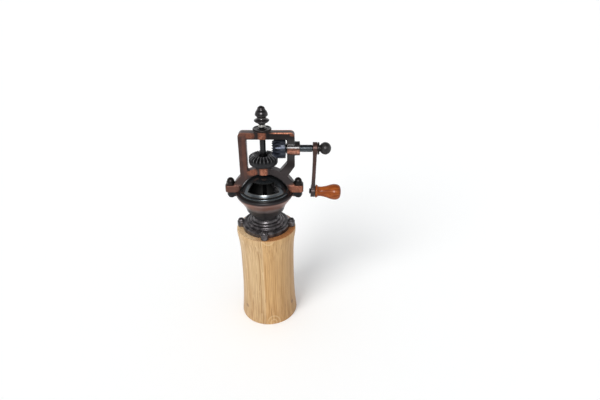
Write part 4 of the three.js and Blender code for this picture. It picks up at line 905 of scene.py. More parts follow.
def makeFlangeScrews():
    size = roundScrew
    head, headHeight, rim, steps = size["head"], size["headHeight"], size["rimShare"], size["crownSteps"]
    crown = [(head * math.cos(a), headHeight * (rim + (1 - rim) * math.sin(a)))
             for a in (math.pi / 2 * i / steps for i in range(steps))]
    profile = [(0, -size["depth"]), (size["shank"], -size["depth"]), (size["shank"], 0), (head, 0), *crown,
               (0, headHeight)]
    slotFloor, slotTop = headHeight - size["slotDepth"], size["slotReach"]
    for i, (x, y) in enumerate(lugPlaces):
        slot = plateMesh(rectangle(size["slotReach"], size["slot"] / 2), slotFloor, slotTop,
                         turnedBy(size["firstTurn"] + size["nextTurn"] * i))
        mesh = castMesh([turnedMesh(profile, size["sides"])], [slot])
        mesh.transform(movedTo(x, y, flange["seat"] + flange["lugHeight"]))
        finishMesh(mesh, f"flangeScrew{i + 1}", "flangeBronze", "grinder", f"flange_screw_{i + 1}")


# Hopper bowl with its two bolt lugs

lugReach = 34.0  # from the body's axis to each lug bolt

bowl = {
    "seat": 126.0, "throat": 9.6, "spigot": (11.0, 2.7), "neck": 12.7, "height": 29.5,
    "bell": ((12.75, 5.4), (13.0, 6.4), (14.2, 7.1), (16.8, 7.4), (18.4, 7.8), (19.3, 8.7),
             (19.7, 10.2), (20.6, 12.8), (21.8, 15.4), (23.6, 18.2), (25.6, 21.2), (27.6, 24.0),
             (28.7, 25.8)),
    "hollow": ((24.4, 26.6), (20.4, 17.6), (17.2, 12.6), (14.0, 10.4), (9.6, 9.6)), "rim": 29.0,
    "rimHeights": (26.8, 28.6), "lip": (24.0, 28.4), "lugStart": 26.0, "lugHalf": 4.7, "lugRound": 4.2,
    "lugSteps": 18, "lugDepth": 5.0, "bolt": 2.3, "boltFrom": 15.0, "boltTo": 40.0, "sides": 144,
    "boltSides": 32, "voxel": 0.45, "softening": 2,
}


def makeBowl():
    size = bowl
    top, half, start, steps = size["height"], size["lugHalf"], size["lugStart"], size["lugSteps"]
    spigotRadius, spigotDepth = size["spigot"]
    rimLow, rimHigh = size["rimHeights"]
    lipInner, lipOuter = size["lip"]
    profile = [
        (size["throat"], -spigotDepth), (spigotRadius, -spigotDepth), (spigotRadius, 0), (size["neck"], 0),
        *flowing(size["bell"]), (size["rim"], rimLow), (size["rim"], rimHigh), (lipOuter, top),
        (lipInner, top), *flowing(size["hollow"]),
    ]
    end = [(lugReach + size["lugRound"] * math.cos(a), half * math.sin(a))
           for a in (math.pi * i / steps - math.pi / 2 for i in range(1, steps))]
    outline = [(start, -half), (lugReach, -half), *end, (lugReach, half), (start, half)]
    lugs, holes = [], []
    for side, degrees in ((-1, 180), (1, 0)):
        lugs.append(plateMesh(outline, top - size["lugDepth"], top, turnedBy(degrees)))
        holes.append(rodMesh(size["bolt"], size["boltFrom"], size["boltTo"], size["boltSides"],
                             movedTo(side * lugReach, 0, 0)))
    mesh = castMesh([turnedMesh(profile, size["sides"]), *lugs], holes, size["voxel"], size["softening"])
    mesh.transform(raisedBy(size["seat"]))
    made = finishMesh(mesh, "hopperBowl", "bowlCopper", "grinder", "hopper_bowl", 180)

    # The bowl's inside faces get painted shade
    def facesAxis(face):
        x, y = face.center.x - bodyAxis, face.center.y
        isInward = face.normal.x * x + face.normal.y * y < 0
        return isInward and math.hypot(x, y) < size["rim"] * millimetre

    paintInsideShade(made, facesAxis)


# Domed lid: an ellipse turned round the axis, with the filling window cut out

dome = {
    "seat": bowl["seat"] + bowl["height"], "foot": 26.0, "side": 25.4, "rise": 26.7, "sink": 8.5,
    "wall": 1.5, "collarInner": 3.67, "collarOuter": 4.97, "collarDepth": 3.7, "outsideStop": 0.3,
    "insideStop": 0.4, "bead": (24.6, 1.25, 1.4), "windowHalf": 46.0, "sill": 5.3, "head": 13.7,
    "headSlope": (3.6, 6.5), "cutIn": 8.0, "cutOut": 32.0, "cutTop": 25.0, "cutSteps": 60, "sides": 180,
    "beadSteps": 12, "outsideSteps": 44, "insideSteps": 30, "lipRound": 0.45,
}


# The lid, its door and the frame's arch are ellipses about one centre, sunk below the lid's seat. Each is
# given by its half width and its half height.
def lidAxes(inset):
    return dome["side"] - inset, dome["rise"] - inset


def heightOn(axes, radius):
    return axes[1] * math.sqrt(1 - (radius / axes[0]) ** 2) - dome["sink"]


def radiusOn(axes, height):
    return axes[0] * math.sqrt(1 - ((height + dome["sink"]) / axes[1]) ** 2)


def angleOn(axes, height):
    return math.asin(min(1, (height + dome["sink"]) / axes[1]))


def ellipseArc(axes, start, end, steps):
    angles = [start + (end - start) * i / steps for i in range(steps + 1)]
    return [(axes[0] * math.cos(a), axes[1] * math.sin(a) - dome["sink"]) for a in angles]


def ellipseBetween(axes, low, high, steps):
    return ellipseArc(axes, angleOn(axes, low), angleOn(axes, high), steps)


def makeDome():
    size = dome
    outer, inner = lidAxes(0), lidAxes(size["wall"])
    crown = size["rise"] - size["sink"]
    innerCrown = crown - size["wall"]
    collarInner, collarOuter = size["collarInner"], size["collarOuter"]
    collarFoot = innerCrown - size["collarDepth"]
    beadRadius, beadHeight, beadRound = size["bead"]
    beadTop = beadHeight + beadRound
    profile = [
        (size["foot"], 0), *arcPoints((beadRadius, beadHeight), beadRound, 0, 90, size["beadSteps"]),
        *ellipseBetween(outer, beadTop, crown - size["outsideStop"], size["outsideSteps"]),
        (collarInner, crown), (collarInner, collarFoot), (collarOuter, collarFoot),
        (collarOuter, heightOn(inner, collarOuter)),
        *ellipseBetween(inner, 0, innerCrown - size["insideStop"], size["insideSteps"])[::-1],
    ]
    sill, head = size["sill"], size["head"]
    sillRadius, headRadius = radiusOn(outer, sill), radiusOn(outer, head)
    slopeOut, slopeUp = size["headSlope"]
    windowSection = [
        (sillRadius - size["cutIn"], sill), (size["cutOut"], sill), (size["cutOut"], size["cutTop"]),
        (headRadius + slopeOut, head + slopeUp), (headRadius, head),
        (headRadius - slopeOut, head - slopeUp)]
    window = sweptMesh(windowSection, -size["windowHalf"], size["windowHalf"], size["cutSteps"])
    mesh = castMesh([turnedMesh(profile, size["sides"])], [window])
    mesh.transform(raisedBy(size["seat"]))
    made = finishMesh(mesh, "domedLid", "domeBlack", "grinder", "dome_cover", 30)
    # The lid's inside faces get painted shade
    middle = Vector((bodyAxis, 0, (size["seat"] - size["sink"]) * millimetre))
    paintInsideShade(made, lambda face: face.normal.dot((face.center - middle).normalized()) < -0.5)
    roundEdges(made, size["lipRound"], 4, 50)


door = {
    "gap": 0.4, "wall": 1.0, "from": 36.5, "to": 131.5, "low": 4.1, "hub": 8.67, "hubLap": 0.5,
    "bore": 5.27, "hubDrops": (0.1, 0.2), "leafSteps": 24, "sweepSteps": 60, "sides": 96,
    "edgeRound": 0.2,
}


def makeDoor():
    size = door
    wall = size["wall"]
    outer, inner = lidAxes(dome["wall"] + size["gap"]), lidAxes(dome["wall"] + size["gap"] + wall)
    hubHeight, boreHeight = heightOn(outer, size["hub"]), heightOn(outer, size["bore"])
    leaf = sweptMesh([
        *ellipseBetween(outer, size["low"], hubHeight, size["leafSteps"]),
        *ellipseBetween(inner, size["low"], hubHeight - wall, size["leafSteps"])[::-1],
    ], size["from"], size["to"], size["sweepSteps"])
    underDrop, topDrop = size["hubDrops"]
    edge = size["hub"] + size["hubLap"]
    hub = turnedMesh([(size["bore"], boreHeight), (size["bore"], boreHeight - wall),
                      (edge, hubHeight - wall - underDrop), (edge, hubHeight - topDrop)], size["sides"])
    mesh = castMesh([leaf, hub])
    mesh.transform(raisedBy(dome["seat"]))
    made = finishMesh(mesh, "slidingDoor", "glossBlack", "lid_door", "dome_door", 30)
    roundEdges(made, size["edgeRound"], 2, 50)


# The knob's shape is given in its radius: how wide, and how far below its end
doorKnob = {"radius": 1.5, "reach": 3.4, "angle": 41.4, "height": 9.5, "gap": 0.3, "neck": (0.55, 1.6),
            "shape": ((0.7, 1.4), (1.0, 0.8), (0.8, 0.25)), "tip": (0.25, 0.03), "sides": 40}


def makeDoorKnob():
    size = doorKnob
    r, reach, height = size["radius"], size["reach"], size["height"]
    neck, neckEnd = (share * r for share in size["neck"])
    tipRadius, tipDrop = size["tip"]
    curve = [(r * wide, reach - r * below) for wide, below in size["shape"]]
    profile = [(0, 0), (neck, 0), (neck, reach - neckEnd),
               *flowing([*curve, (tipRadius, reach - tipDrop)], 4), (0, reach)]
    axes = lidAxes(dome["wall"] + door["gap"])
    radius = radiusOn(axes, height)
    slope = math.atan2(radius / axes[0] ** 2, (height + dome["sink"]) / axes[1] ** 2)
    place = raisedBy(dome["seat"]) @ turnedBy(size["angle"]) @ movedTo(0, -radius, height)
    place = place @ Matrix.Rotation(slope, 4, "X") @ raisedBy(size["gap"])
    mesh = turnedMesh(profile, size["sides"], place)
    finishMesh(mesh, "doorKnob", "glossBlack", "lid_door", "door_knob")


# Gear frame: one casting of an arch over the dome, a portal round the gears, ears, bosses and bearing

crankHeight = 200.9  # the crank's axis above the table

gearFrame = {
    "depth": 9.0, "archInner": (26.3, 28.2), "archOuter": (34.6, 34.6), "lip": 1.9, "left": -23.2,
    "right": 30.8, "windowLeft": -15.6, "windowRight": 23.3, "windowTop": 55.7, "top": 62.5,
    "corner": 4.0, "innerCorner": 1.4, "crank": crankHeight - dome["seat"], "kneeDrop": 14.2,
    "kneeRise": 3.2, "kneeShift": 7.4, "kneeFoot": 5.0, "kneeLap": 3.2, "boss": 8.0, "bossDrop": 1.1,
    "bossRise": 1.3, "lowBossRise": 1.2, "bearing": 6.9, "bearingEnd": 35.9, "earStart": 24.5,
    "earHeight": 7.1, "earHalf": 5.5, "earEnd": 39.3, "earRound": 2.4, "boltHole": 2.3, "nutRoom": 4.9,
    "shaftBore": 3.17, "crankBore": 3.65, "lidGap": 0.3, "cutDepth": 5.0, "nutCutTop": 22.0,
    "shaftCutTop": 80.0, "crankCutEnd": 50.0, "archSteps": 96, "clearSteps": 40, "sides": 96,
    "boreSides": 48, "voxel": 0.36, "softening": 7,
}


def portalOutline():
    size = gearFrame
    outer = size["archOuter"]
    middle = [(low + high) / 2 for low, high in zip(size["archInner"], outer)]
    left, right, top, corner = size["left"], size["right"], size["top"], size["corner"]
    windowLeft, windowRight, windowTop = size["windowLeft"], size["windowRight"], size["windowTop"]
    small = size["innerCorner"]
    knee = size["crank"] - size["kneeDrop"]
    kneeX = right - size["kneeShift"]
    footX = kneeX - size["kneeFoot"]
    innerX = windowRight - size["kneeShift"]
    return [
        (left, heightOn(middle, left)),
        *arcPoints((left + corner, top - corner), corner, 180, 90),
        *arcPoints((right - corner, top - corner), corner, 90, 0),
        (right, knee - size["kneeRise"]), (kneeX, heightOn(outer, kneeX)), (footX, heightOn(middle, footX)),
        (innerX, heightOn(outer, innerX) - size["kneeLap"]), (innerX, heightOn(outer, innerX)),
        (windowRight, knee),
        *arcPoints((windowRight - small, windowTop - small), small, 0, 90),
        *arcPoints((windowLeft + small, windowTop - small), small, 90, 180),
        (windowLeft, heightOn(middle, windowLeft)),
    ]


def archOutline():
    size = gearFrame
    sides = []
    for axes in (size["archOuter"], size["archInner"]):
        start = angleOn(axes, size["lip"])
        sides.append(ellipseArc(axes, start, math.pi - start, size["archSteps"]))
    return [*sides[0], *sides[1][::-1]]


def frameBodies():
    size = gearFrame
    half, sides = size["depth"] / 2, size["sides"]
    start, end, width, corner = size["earStart"], size["earEnd"], size["earHalf"], size["earRound"]
    earOutline = [(start, -width), *arcPoints((end - corner, corner - width), corner, -90, 0),
                  *arcPoints((end - corner, width - corner), corner, 0, 90), (start, width)]
    archFoot, archTop = size["archInner"][1] - dome["sink"], size["archOuter"][1] - dome["sink"]
    return [
        plateMesh(portalOutline(), -half, half, standing), plateMesh(archOutline(), -half, half, standing),
        plateMesh(earOutline, 0, size["earHeight"], turnedBy(0)),
        plateMesh(earOutline, 0, size["earHeight"], turnedBy(180)),
        rodMesh(size["boss"], size["windowTop"] + size["bossDrop"], size["top"] + size["bossRise"], sides),
        rodMesh(size["boss"], archFoot, archTop + size["lowBossRise"], sides),
        rodMesh(size["bearing"], size["windowRight"], size["bearingEnd"], sides,
                raisedBy(size["crank"]) @ alongX),
    ]


def frameCuts():
    size = gearFrame
    innerWidth, innerHeight = size["archInner"]
    lidRoom = (innerWidth, innerHeight - size["lidGap"])
    depth, sides = size["cutDepth"], size["boreSides"]
    clearing = [(0, -depth), (innerWidth, -depth), (innerWidth, size["lip"]),
                *ellipseArc(lidRoom, angleOn(lidRoom, size["lip"]), math.pi / 2, size["clearSteps"])]
    cuts = [
        turnedMesh(clearing, size["sides"]),
        rodMesh(size["shaftBore"], 0, size["shaftCutTop"], sides),
        rodMesh(size["crankBore"], size["windowRight"] - depth, size["crankCutEnd"], sides,
                raisedBy(size["crank"]) @ alongX),
    ]
    for side in (-1, 1):
        for radius, low in ((size["boltHole"], -depth), (size["nutRoom"], size["earHeight"])):
            cuts.append(rodMesh(radius, low, size["nutCutTop"], sides, movedTo(side * lugReach, 0, 0)))
    return cuts


def makeGearFrame():
    mesh = castMesh(frameBodies(), frameCuts(), gearFrame["voxel"], gearFrame["softening"])
    mesh.transform(raisedBy(dome["seat"]))
    finishMesh(mesh, "gearFrame", "frameCopper", "grinder", "yoke_frame", 180)


# Lug bolts and acorn nuts

lugBolt = {
    "radius": 2.0, "head": 3.5, "headHeight": 2.2, "headEdge": 0.8, "threadEnd": 4.0, "round": 0.4,
    "sides": 48,
}
acornNut = {
    "across": 4.4, "flat": 2.6, "dome": 3.9, "domeLap": 0.5, "height": 7.2, "bore": 2.3,
    "boreFrom": -3.0, "boreTo": 4.3, "crownSteps": 15, "sides": 48, "boreSides": 32, "edgeRound": 0.35,
}


def makeLugBolt(label, x):
    size = lugBolt
    radius, head, under = size["radius"], size["head"], -size["headHeight"]
    end = bowl["lugDepth"] + gearFrame["earHeight"] + size["threadEnd"]
    profile = rounded([
        (0, under), (head * size["headEdge"], under), (head, under / 2), (head, 0), (radius, 0),
        (radius, end), (0, end)], size["round"])
    mesh = turnedMesh(profile, size["sides"], movedTo(x, 0, dome["seat"] - bowl["lugDepth"]))
    finishMesh(mesh, f"lugBolt{label}", "darkBronze", "grinder", f"lug_bolt_{label.lower()}")


def makeAcornNut(label, x):
    size = acornNut
    flat, crown, steps = size["flat"], size["dome"], size["crownSteps"]
    rise = size["height"] - flat
    cap = [(0, flat - size["domeLap"]), (crown, flat - size["domeLap"])]
    cap += [(crown * math.cos(a), flat + rise * math.sin(a))
            for a in (math.pi / 2 * i / steps for i in range(steps))]
    cap.append((0, size["height"]))
    bore = rodMesh(size["bore"], size["boreFrom"], size["boreTo"], size["boreSides"])
    hexagon = plateMesh(circlePoints(size["across"], 6), 0, flat)
    mesh = castMesh([hexagon, turnedMesh(cap, size["sides"])], [bore])
    mesh.transform(movedTo(x, 0, dome["seat"] + gearFrame["earHeight"]))
    made = finishMesh(mesh, f"acornNut{label}", "darkBronze", "grinder", f"acorn_nut_{label.lower()}",
                      25)
    roundEdges(made, size["edgeRound"], 2, 35)


# Bevel gears: involute teeth whose flanks run to the point where the two axes cross. A gear is made point
# down, with heights measured from that point.

gearPair = {
    "module": 1.125, "gearTeeth": 24, "pinionTeeth": 16, "pressure": math.radians(20), "backlash": 0.34,
    "addendum": 0.95, "dedendum": 1.3, "toe": 0.68, "tipEase": 0.1, "tipFrom": 0.75, "ringGap": 0.15,
    "flankSteps": 6, "lengthSteps": 3,
}
gearCone = math.atan(gearPair["gearTeeth"] / gearPair["pinionTeeth"])
pinionCone = math.pi / 2 - gearCone


def pitchDepth(teeth, cone):
    return gearPair["module"] * teeth / 2 / math.tan(cone)


def halfToothAngle(teeth, cone, height):
    size = gearPair
    virtualRadius = size["module"] * teeth / 2 / math.cos(cone)
    baseRadius = virtualRadius * math.cos(size["pressure"])
    slant = math.acos(baseRadius / max(virtualRadius + height, baseRadius))
    halfThickness = (math.pi * size["module"] / 2 - size["backlash"]) / 2 / virtualRadius
    involute = math.tan(size["pressure"]) - size["pressure"] - math.tan(slant) + slant
    return (halfThickness + involute) / math.cos(cone)


# Half angle and height of each point of a tooth's outline, from root over tip to root
def toothOutline(teeth, cone):
    size = gearPair
    low, high = -size["dedendum"] * size["module"], size["addendum"] * size["module"]
    rising = []
    for i in range(size["flankSteps"] + 1):
        share = i / size["flankSteps"]
        height = low + (high - low) * share
        ease = size["tipEase"] * max(0.0, share - size["tipFrom"]) / (1 - size["tipFrom"])
        rising.append((-halfToothAngle(teeth, cone, height) * (1 - ease), height))
    return rising + [(-offset, height) for offset, height in rising[::-1]]


def bevelGearMesh(teeth, cone, rimRadius, bodyPoints, phase):
    size = gearPair
    toe, steps = size["toe"], size["lengthSteps"]
    pitchRadius, pitchHeight = size["module"] * teeth / 2, pitchDepth(teeth, cone)
    outline = toothOutline(teeth, cone)
    root = outline[0][1]
    rootRadius, rootHeight = pitchRadius + root * math.cos(cone), pitchHeight - root * math.sin(cone)
    ringHeight = rootHeight * rimRadius / rootRadius + size["ringGap"]
    sections = []
    for tooth in range(teeth):
        middle = (tooth + phase) * 2 * math.pi / teeth
        for offset, height in outline:
            heelRadius = pitchRadius + height * math.cos(cone)
            heelHeight = pitchHeight - height * math.sin(cone)
            reach = rimRadius / heelRadius
            shares = [toe + (reach - toe) * k / steps for k in range(steps + 1)]
            profile = [(heelRadius * share, heelHeight * share) for share in shares]
            profile += [(rimRadius, ringHeight), *bodyPoints]
            a = middle + offset
            sections.append([
                (radius * math.cos(a), radius * math.sin(a), along) for radius, along in profile])
    return loftedMesh(sections, True)


bigGear = {
    "rim": 14.2, "depth": 7.6, "chamfer": 3.2, "chamferGap": 0.4, "recess": 4.7, "recessDepth": 2.6,
    "faceDrop": 1.2, "pilot": 1.5, "square": 4.6, "squareLap": 5.0,
}


def makeBigGear():
    size = bigGear
    rim, chamfer, recess = size["rim"], size["chamfer"], size["recess"]
    pilot, lap = size["pilot"], size["squareLap"]
    depth = pitchDepth(gearPair["gearTeeth"], gearCone)
    bottom = depth + size["depth"]
    face = gearPair["toe"] * depth + size["faceDrop"]
    floor = face + size["recessDepth"]
    body = [(rim, bottom - chamfer - size["chamferGap"]),
            *arcPoints((rim - chamfer, bottom - chamfer), chamfer, 0, 90, 6),
            (pilot, bottom), (pilot, floor), (recess, floor), (recess, face)]
    wheel = bevelGearMesh(gearPair["gearTeeth"], gearCone, rim, body, 0.5)
    wheel.transform(Matrix.Rotation(math.pi, 4, "X"))
    half = size["square"] / 2
    mesh = castMesh([wheel], [plateMesh(rectangle(half, half), -bottom - lap, -floor + lap)])
    mesh.transform(raisedBy(crankHeight))
    finishMesh(mesh, "bigBevelGear", "gearBlack", "gear", "bevel_gear", 28)


smallGear = {"rim": 9.6, "length": 22.0, "edge": 0.7, "edgeEase": 0.2, "face": 4.8, "bore": 3.65}


def makeSmallGear():
    size = smallGear
    rim, length, edge, ease, bore = (size[key] for key in ("rim", "length", "edge", "edgeEase", "bore"))
    root = gearPair["dedendum"] * gearPair["module"] * math.sin(pinionCone)
    toeFace = gearPair["toe"] * (pitchDepth(gearPair["pinionTeeth"], pinionCone) + root)
    body = [(rim, length - edge), (rim - ease, length - ease), (rim - edge, length), (bore, length),
            (bore, toeFace), (size["face"], toeFace)]
    mesh = bevelGearMesh(gearPair["pinionTeeth"], pinionCone, rim, body, 0)
    mesh.transform(raisedBy(crankHeight) @ alongX)
    finishMesh(mesh, "smallBevelGear", "pinionBlack", "crank", "bevel_pinion", 18)


# Upright shaft with a real thread at its top

frameTop = dome["seat"] + gearFrame["top"] + gearFrame["bossRise"]

# Its heights are above the table.
upright = {
    "radius": 2.87, "square": 4.0, "shoulder": 190.15, "threadEnd": 232.7, "foot": 1.6, "footTop": 6.2,
    "topThread": {"radius": 2.4, "depth": 0.42, "pitch": 0.8},
    "footThread": {"radius": 1.9, "depth": 0.3, "pitch": 0.7}, "squareLaps": (0.2, 0.5),
    "threadLap": 0.5, "round": 0.3, "sides": 64,
}


# A threaded rod's surface: the radius follows the angle and the height together
def threadMesh(low, high, radius, depth, pitch, sides=32, rowsPerTurn=6):
    rows = int((high - low) / pitch * rowsPerTurn)
    sections = []
    for row in range(rows + 1):
        height = low + (high - low) * row / rows
        fade = min(1, (high - height) / pitch, (height - low) / pitch)
        ring = []
        for i in range(sides):
            phase = (height / pitch - i / sides) % 1
            r = radius - depth * abs(phase - 0.5) * 2 * fade
            a = 2 * math.pi * i / sides
            ring.append((r * math.cos(a), r * math.sin(a), height))
        sections.append(ring)
    return loftedMesh(sections)


def makeShaft():
    size = upright
    half = size["square"] / 2
    footLap, shoulderLap = size["squareLaps"]
    shoulder, radius = size["shoulder"], size["radius"]
    rodProfile = rounded(
        [(0, shoulder), (radius, shoulder), (radius, frameTop), (0, frameTop)], size["round"])
    mesh = castMesh([
        plateMesh(rectangle(half, half), size["footTop"] - footLap, shoulder + shoulderLap),
        turnedMesh(rodProfile, size["sides"]),
        threadMesh(frameTop - size["threadLap"], size["threadEnd"], **size["topThread"]),
        threadMesh(size["foot"], size["footTop"], **size["footThread"]),
    ])
    finishMesh(mesh, "uprightShaft", "glossBlack", "upright_shaft", "main_shaft")


# Washer, springs and finial nut

topWasher = {
    "radius": 9.0, "height": 2.2, "edge": (0.4, 0.5), "rim": 1.4, "dish": 0.55, "dishSlope": (0.5, 0.6),
    "bore": 3.17, "hub": 4.6, "round": 0.35, "sides": 128,
}


def makeTopWasher():
    size = topWasher
    r, h, hub, bore = size["radius"], size["height"], size["hub"], size["bore"]
    (edgeIn, edgeUp), (slopeOut, slopeIn) = size["edge"], size["dishSlope"]
    inside, dished = r - size["rim"], h - size["dish"]
    profile = rounded([
        (bore, 0), (r - edgeIn, 0), (r, edgeUp), (r, h - edgeUp), (r - edgeIn, h), (inside, h),
        (inside - slopeOut, dished), (hub + slopeIn, dished), (hub, h), (bore, h),
    ], size["round"], closed=True)
    mesh = turnedMesh(profile, size["sides"], raisedBy(frameTop))
    finishMesh(mesh, "topWasher", "darkBronze", "grinder", "top_washer")


springs = {
    "finialSpring": {"seat": 221.65, "wire": 0.9, "coil": 3.0, "curls": 2, "pitch": 1.05,
                     "body": "finial", "node": "finial_spring"},
    "burrSpring": {"seat": 15.2, "wire": 0.8, "coil": 4.0, "curls": 3, "pitch": 1.25,
                   "body": "upright_shaft", "node": "burr_spring"},
}


def makeSpring(name, size, steps=24, sides=10):
    coil, wire = size["coil"], size["wire"]
    path = [Vector((coil, 0, 0))]
    for i in range(size["curls"] * steps + 1):
        a = 2 * math.pi * i / steps
        path.append(Vector((coil * math.cos(a), coil * math.sin(a), wire + i * size["pitch"] / steps)))
    path.append(Vector((coil, 0, size["curls"] * size["pitch"] + 2 * wire)))
    sections = []
    for i, centre in enumerate(path):
        along = (path[min(len(path) - 1, i + 1)] - path[max(0, i - 1)]).normalized()
        outward = Vector((centre.x, centre.y, 0)).normalized()
        outward = (outward - along * outward.dot(along)).normalized()
        across = along.cross(outward)
        sections.append([
            tuple(centre + outward * x + across * y) for x, y in circlePoints(wire / 2, sides)])
    mesh = loftedMesh(sections)
    mesh.transform(raisedBy(size["seat"]))
    finishMesh(mesh, name, "brightSteel", size["body"], size["node"], 60)


finial = {
    "seat": 225.7, "bore": 2.7, "boreDepth": 9.5, "boreTip": 1.0, "neck": 3.5,
    "skirt": ((3.5, 0.8), (5.5, 1.5), (6.9, 2.5), (7.2, 3.2), (7.0, 3.75), (5.6, 4.4), (4.9, 4.9),
              (4.45, 5.9), (4.7, 7.0)),
    "acorn": ((5.2, 7.5), (6.0, 8.2), (6.1, 8.9), (5.8, 10.3), (5.35, 11.5), (4.8, 12.4), (4.1, 13.2)),
    "tip": ((3.7, 13.9), (3.6, 14.6), (3.3, 15.3), (2.6, 16.05), (1.5, 16.65), (0.6, 16.87)),
    "height": 16.9, "sides": 128,
}


def makeFinial():
    size = finial
    profile = [(0, size["boreDepth"] + size["boreTip"]), (size["bore"], size["boreDepth"]),
               (size["bore"], 0), (size["neck"], 0)]
    for run in ("skirt", "acorn", "tip"):
        profile += flowing(size[run], 4)
    profile.append((0, size["height"]))
    mesh = turnedMesh(profile, size["sides"], raisedBy(size["seat"]))
    finishMesh(mesh, "finialNut", "finialBlack", "finial", "finial_nut", 40)


# Crank: shaft, arm, washer, ball nut, knob pin and wooden knob. Places are along the crank's axis from the
# body's axis, and the knob's are along its pin from the middle of the arm's foot.

crankArm = {
    "start": 48.2, "thickness": 4.4, "waistThickness": 3.7, "waistShare": 0.8, "topWidth": 8.6,
    "footWidth": 7.2, "length": 46.5, "lean": 1.5, "leanCurve": 1.5, "squareness": 0.6, "topEye": 6.1,
    "footEye": 6.0, "droop": math.radians(2.5), "topBore": 2.7, "topBoreFrom": 40.0, "topBoreTo": 60.0,
    "footBore": 2.2, "footBoreHalf": 6.0, "rings": 24, "ringPoints": 40, "eyeSides": 72,
    "boreSides": 40, "voxel": 0.3, "softening": 5,
}
armMiddle = crankArm["start"] + crankArm["thickness"] / 2
onCrank = raisedBy(crankHeight) @ alongX
onPin = (movedTo(armMiddle - crankArm["lean"], 0, crankHeight - crankArm["length"])
         @ Matrix.Rotation(crankArm["droop"], 4, "Y") @ alongX)


def superEllipse(halfX, halfY, power, count):
    points = []
    for i in range(count):
        a = 2 * math.pi * (i + 0.5) / count
        points.append((math.copysign(abs(math.cos(a)) ** power, math.cos(a)) * halfX,
                       math.copysign(abs(math.sin(a)) ** power, math.sin(a)) * halfY))
    return points


def makeCrankArm():
    size = crankArm
    thick, waist, start = size["thickness"], size["waistThickness"], size["start"]
    half = thick / 2
    sections = []
    for i in range(size["rings"] + 1):
        fall = i / size["rings"]
        swell = (2 * fall - 1) ** 2 * size["waistShare"]
        halfThick = (waist + (thick - waist) * swell) / 2
        halfWidth = (size["topWidth"] + (size["footWidth"] - size["topWidth"]) * fall) / 2
        centre = armMiddle - size["lean"] * fall ** size["leanCurve"]
        height = crankHeight - size["length"] * fall
        sections.append([(centre + x, y, height) for x, y in superEllipse(
            halfThick, halfWidth, size["squareness"], size["ringPoints"])])
    eyes = [rodMesh(size["topEye"], start, start + thick, size["eyeSides"], onCrank),
            rodMesh(size["footEye"], -half, half, size["eyeSides"], onPin)]
    sides = size["boreSides"]
    bores = [rodMesh(size["topBore"], size["topBoreFrom"], size["topBoreTo"], sides, onCrank),
             rodMesh(size["footBore"], -size["footBoreHalf"], size["footBoreHalf"], sides, onPin)]
    mesh = castMesh([loftedMesh(sections), *eyes], bores, size["voxel"], size["softening"])
    finishMesh(mesh, "crankArm", "armCopper", "crank", "crank_arm", 180)


ballNut = {
    "start": 54.8, "neck": (3.3, 0.7), "neckEdge": 0.2, "across": 6.05, "along": 5.7, "bore": 2.7,
    "boreGap": 0.3, "steps": 36, "sides": 96,
}
ballMiddle = ballNut["start"] + ballNut["neck"][1] + ballNut["along"] * math.cos(
    math.asin(ballNut["neck"][0] / ballNut["across"]))
shaftEnd = ballNut["start"] + ballNut["neck"][1] + ballNut["along"]

crankShaft = {
    "radius": 3.5, "start": 11.5, "collar": (5.0, 22.3, 23.0), "end": 2.4, "armGap": 0.3, "round": 0.25,
    "sides": 64,
}


def makeCrankShaft():
    size = crankShaft
    radius, start, end = size["radius"], size["start"], size["end"]
    collarRadius, collarStart, collarEnd = size["collar"]
    step = crankArm["start"] - size["armGap"]
    profile = rounded([
        (0, start), (radius, start), (radius, collarStart), (collarRadius, collarStart),
        (collarRadius, collarEnd), (radius, collarEnd), (radius, step), (end, step), (end, shaftEnd),
        (0, shaftEnd)], size["round"])
    finishMesh(turnedMesh(profile, size["sides"], onCrank), "crankShaft", "domeBlack", "crank",
               "crank_shaft")


armWasher = {"radius": 6.0, "bore": 2.7, "start": 52.9, "thickness": 1.6, "round": 0.4, "sides": 96}


def makeArmWasher():
    size = armWasher
    radius, bore, start = size["radius"], size["bore"], size["start"]
    end = start + size["thickness"]
    outline = [(bore, start), (radius, start), (radius, end), (bore, end)]
    profile = rounded(outline, size["round"], closed=True)
    finishMesh(turnedMesh(profile, size["sides"], onCrank), "armWasher", "darkBronze", "crank",
               "arm_washer")


def makeBallNut():
    size = ballNut
    neckRadius, neckLength = size["neck"]
    start, bore, edge, steps = size["start"], size["bore"], size["neckEdge"], size["steps"]
    boreEnd = shaftEnd + size["boreGap"]
    neckAngle = math.pi - math.asin(neckRadius / size["across"])
    profile = [(0, boreEnd), (bore, boreEnd), (bore, start), (neckRadius - edge, start),
               (neckRadius, start + edge), (neckRadius, start + neckLength)]
    profile += [(size["across"] * math.sin(a), ballMiddle + size["along"] * math.cos(a))
                for a in (neckAngle * (1 - i / steps) for i in range(1, steps))]
    profile.append((0, ballMiddle + size["along"]))
    finishMesh(turnedMesh(profile, size["sides"], onCrank), "ballNut", "ballBlack", "crank", "ball_nut")


knobPin = {
    "radius": 1.9, "head": 2.9, "headLength": 1.3, "headCurve": ((0.75, 0.95), (1.0, 0.4)),
    "length": 22.0, "armGap": 0.3, "round": 0.35, "sides": 48,
}


def makeKnobPin():
    size = knobPin
    radius, head, headLength = size["radius"], size["head"], size["headLength"]
    face = -(crankArm["thickness"] / 2 + size["armGap"])
    end = size["length"] + face
    curve = [(head * wide, face - headLength * out) for wide, out in size["headCurve"]]
    outline = [
        (0, face - headLength), *curve, (head, face), (radius, face), (radius, end), (0, end)]
    profile = rounded(outline, size["round"])
    finishMesh(turnedMesh(profile, size["sides"], onPin), "knobPin", "darkBronze", "crank", "knob_pin")


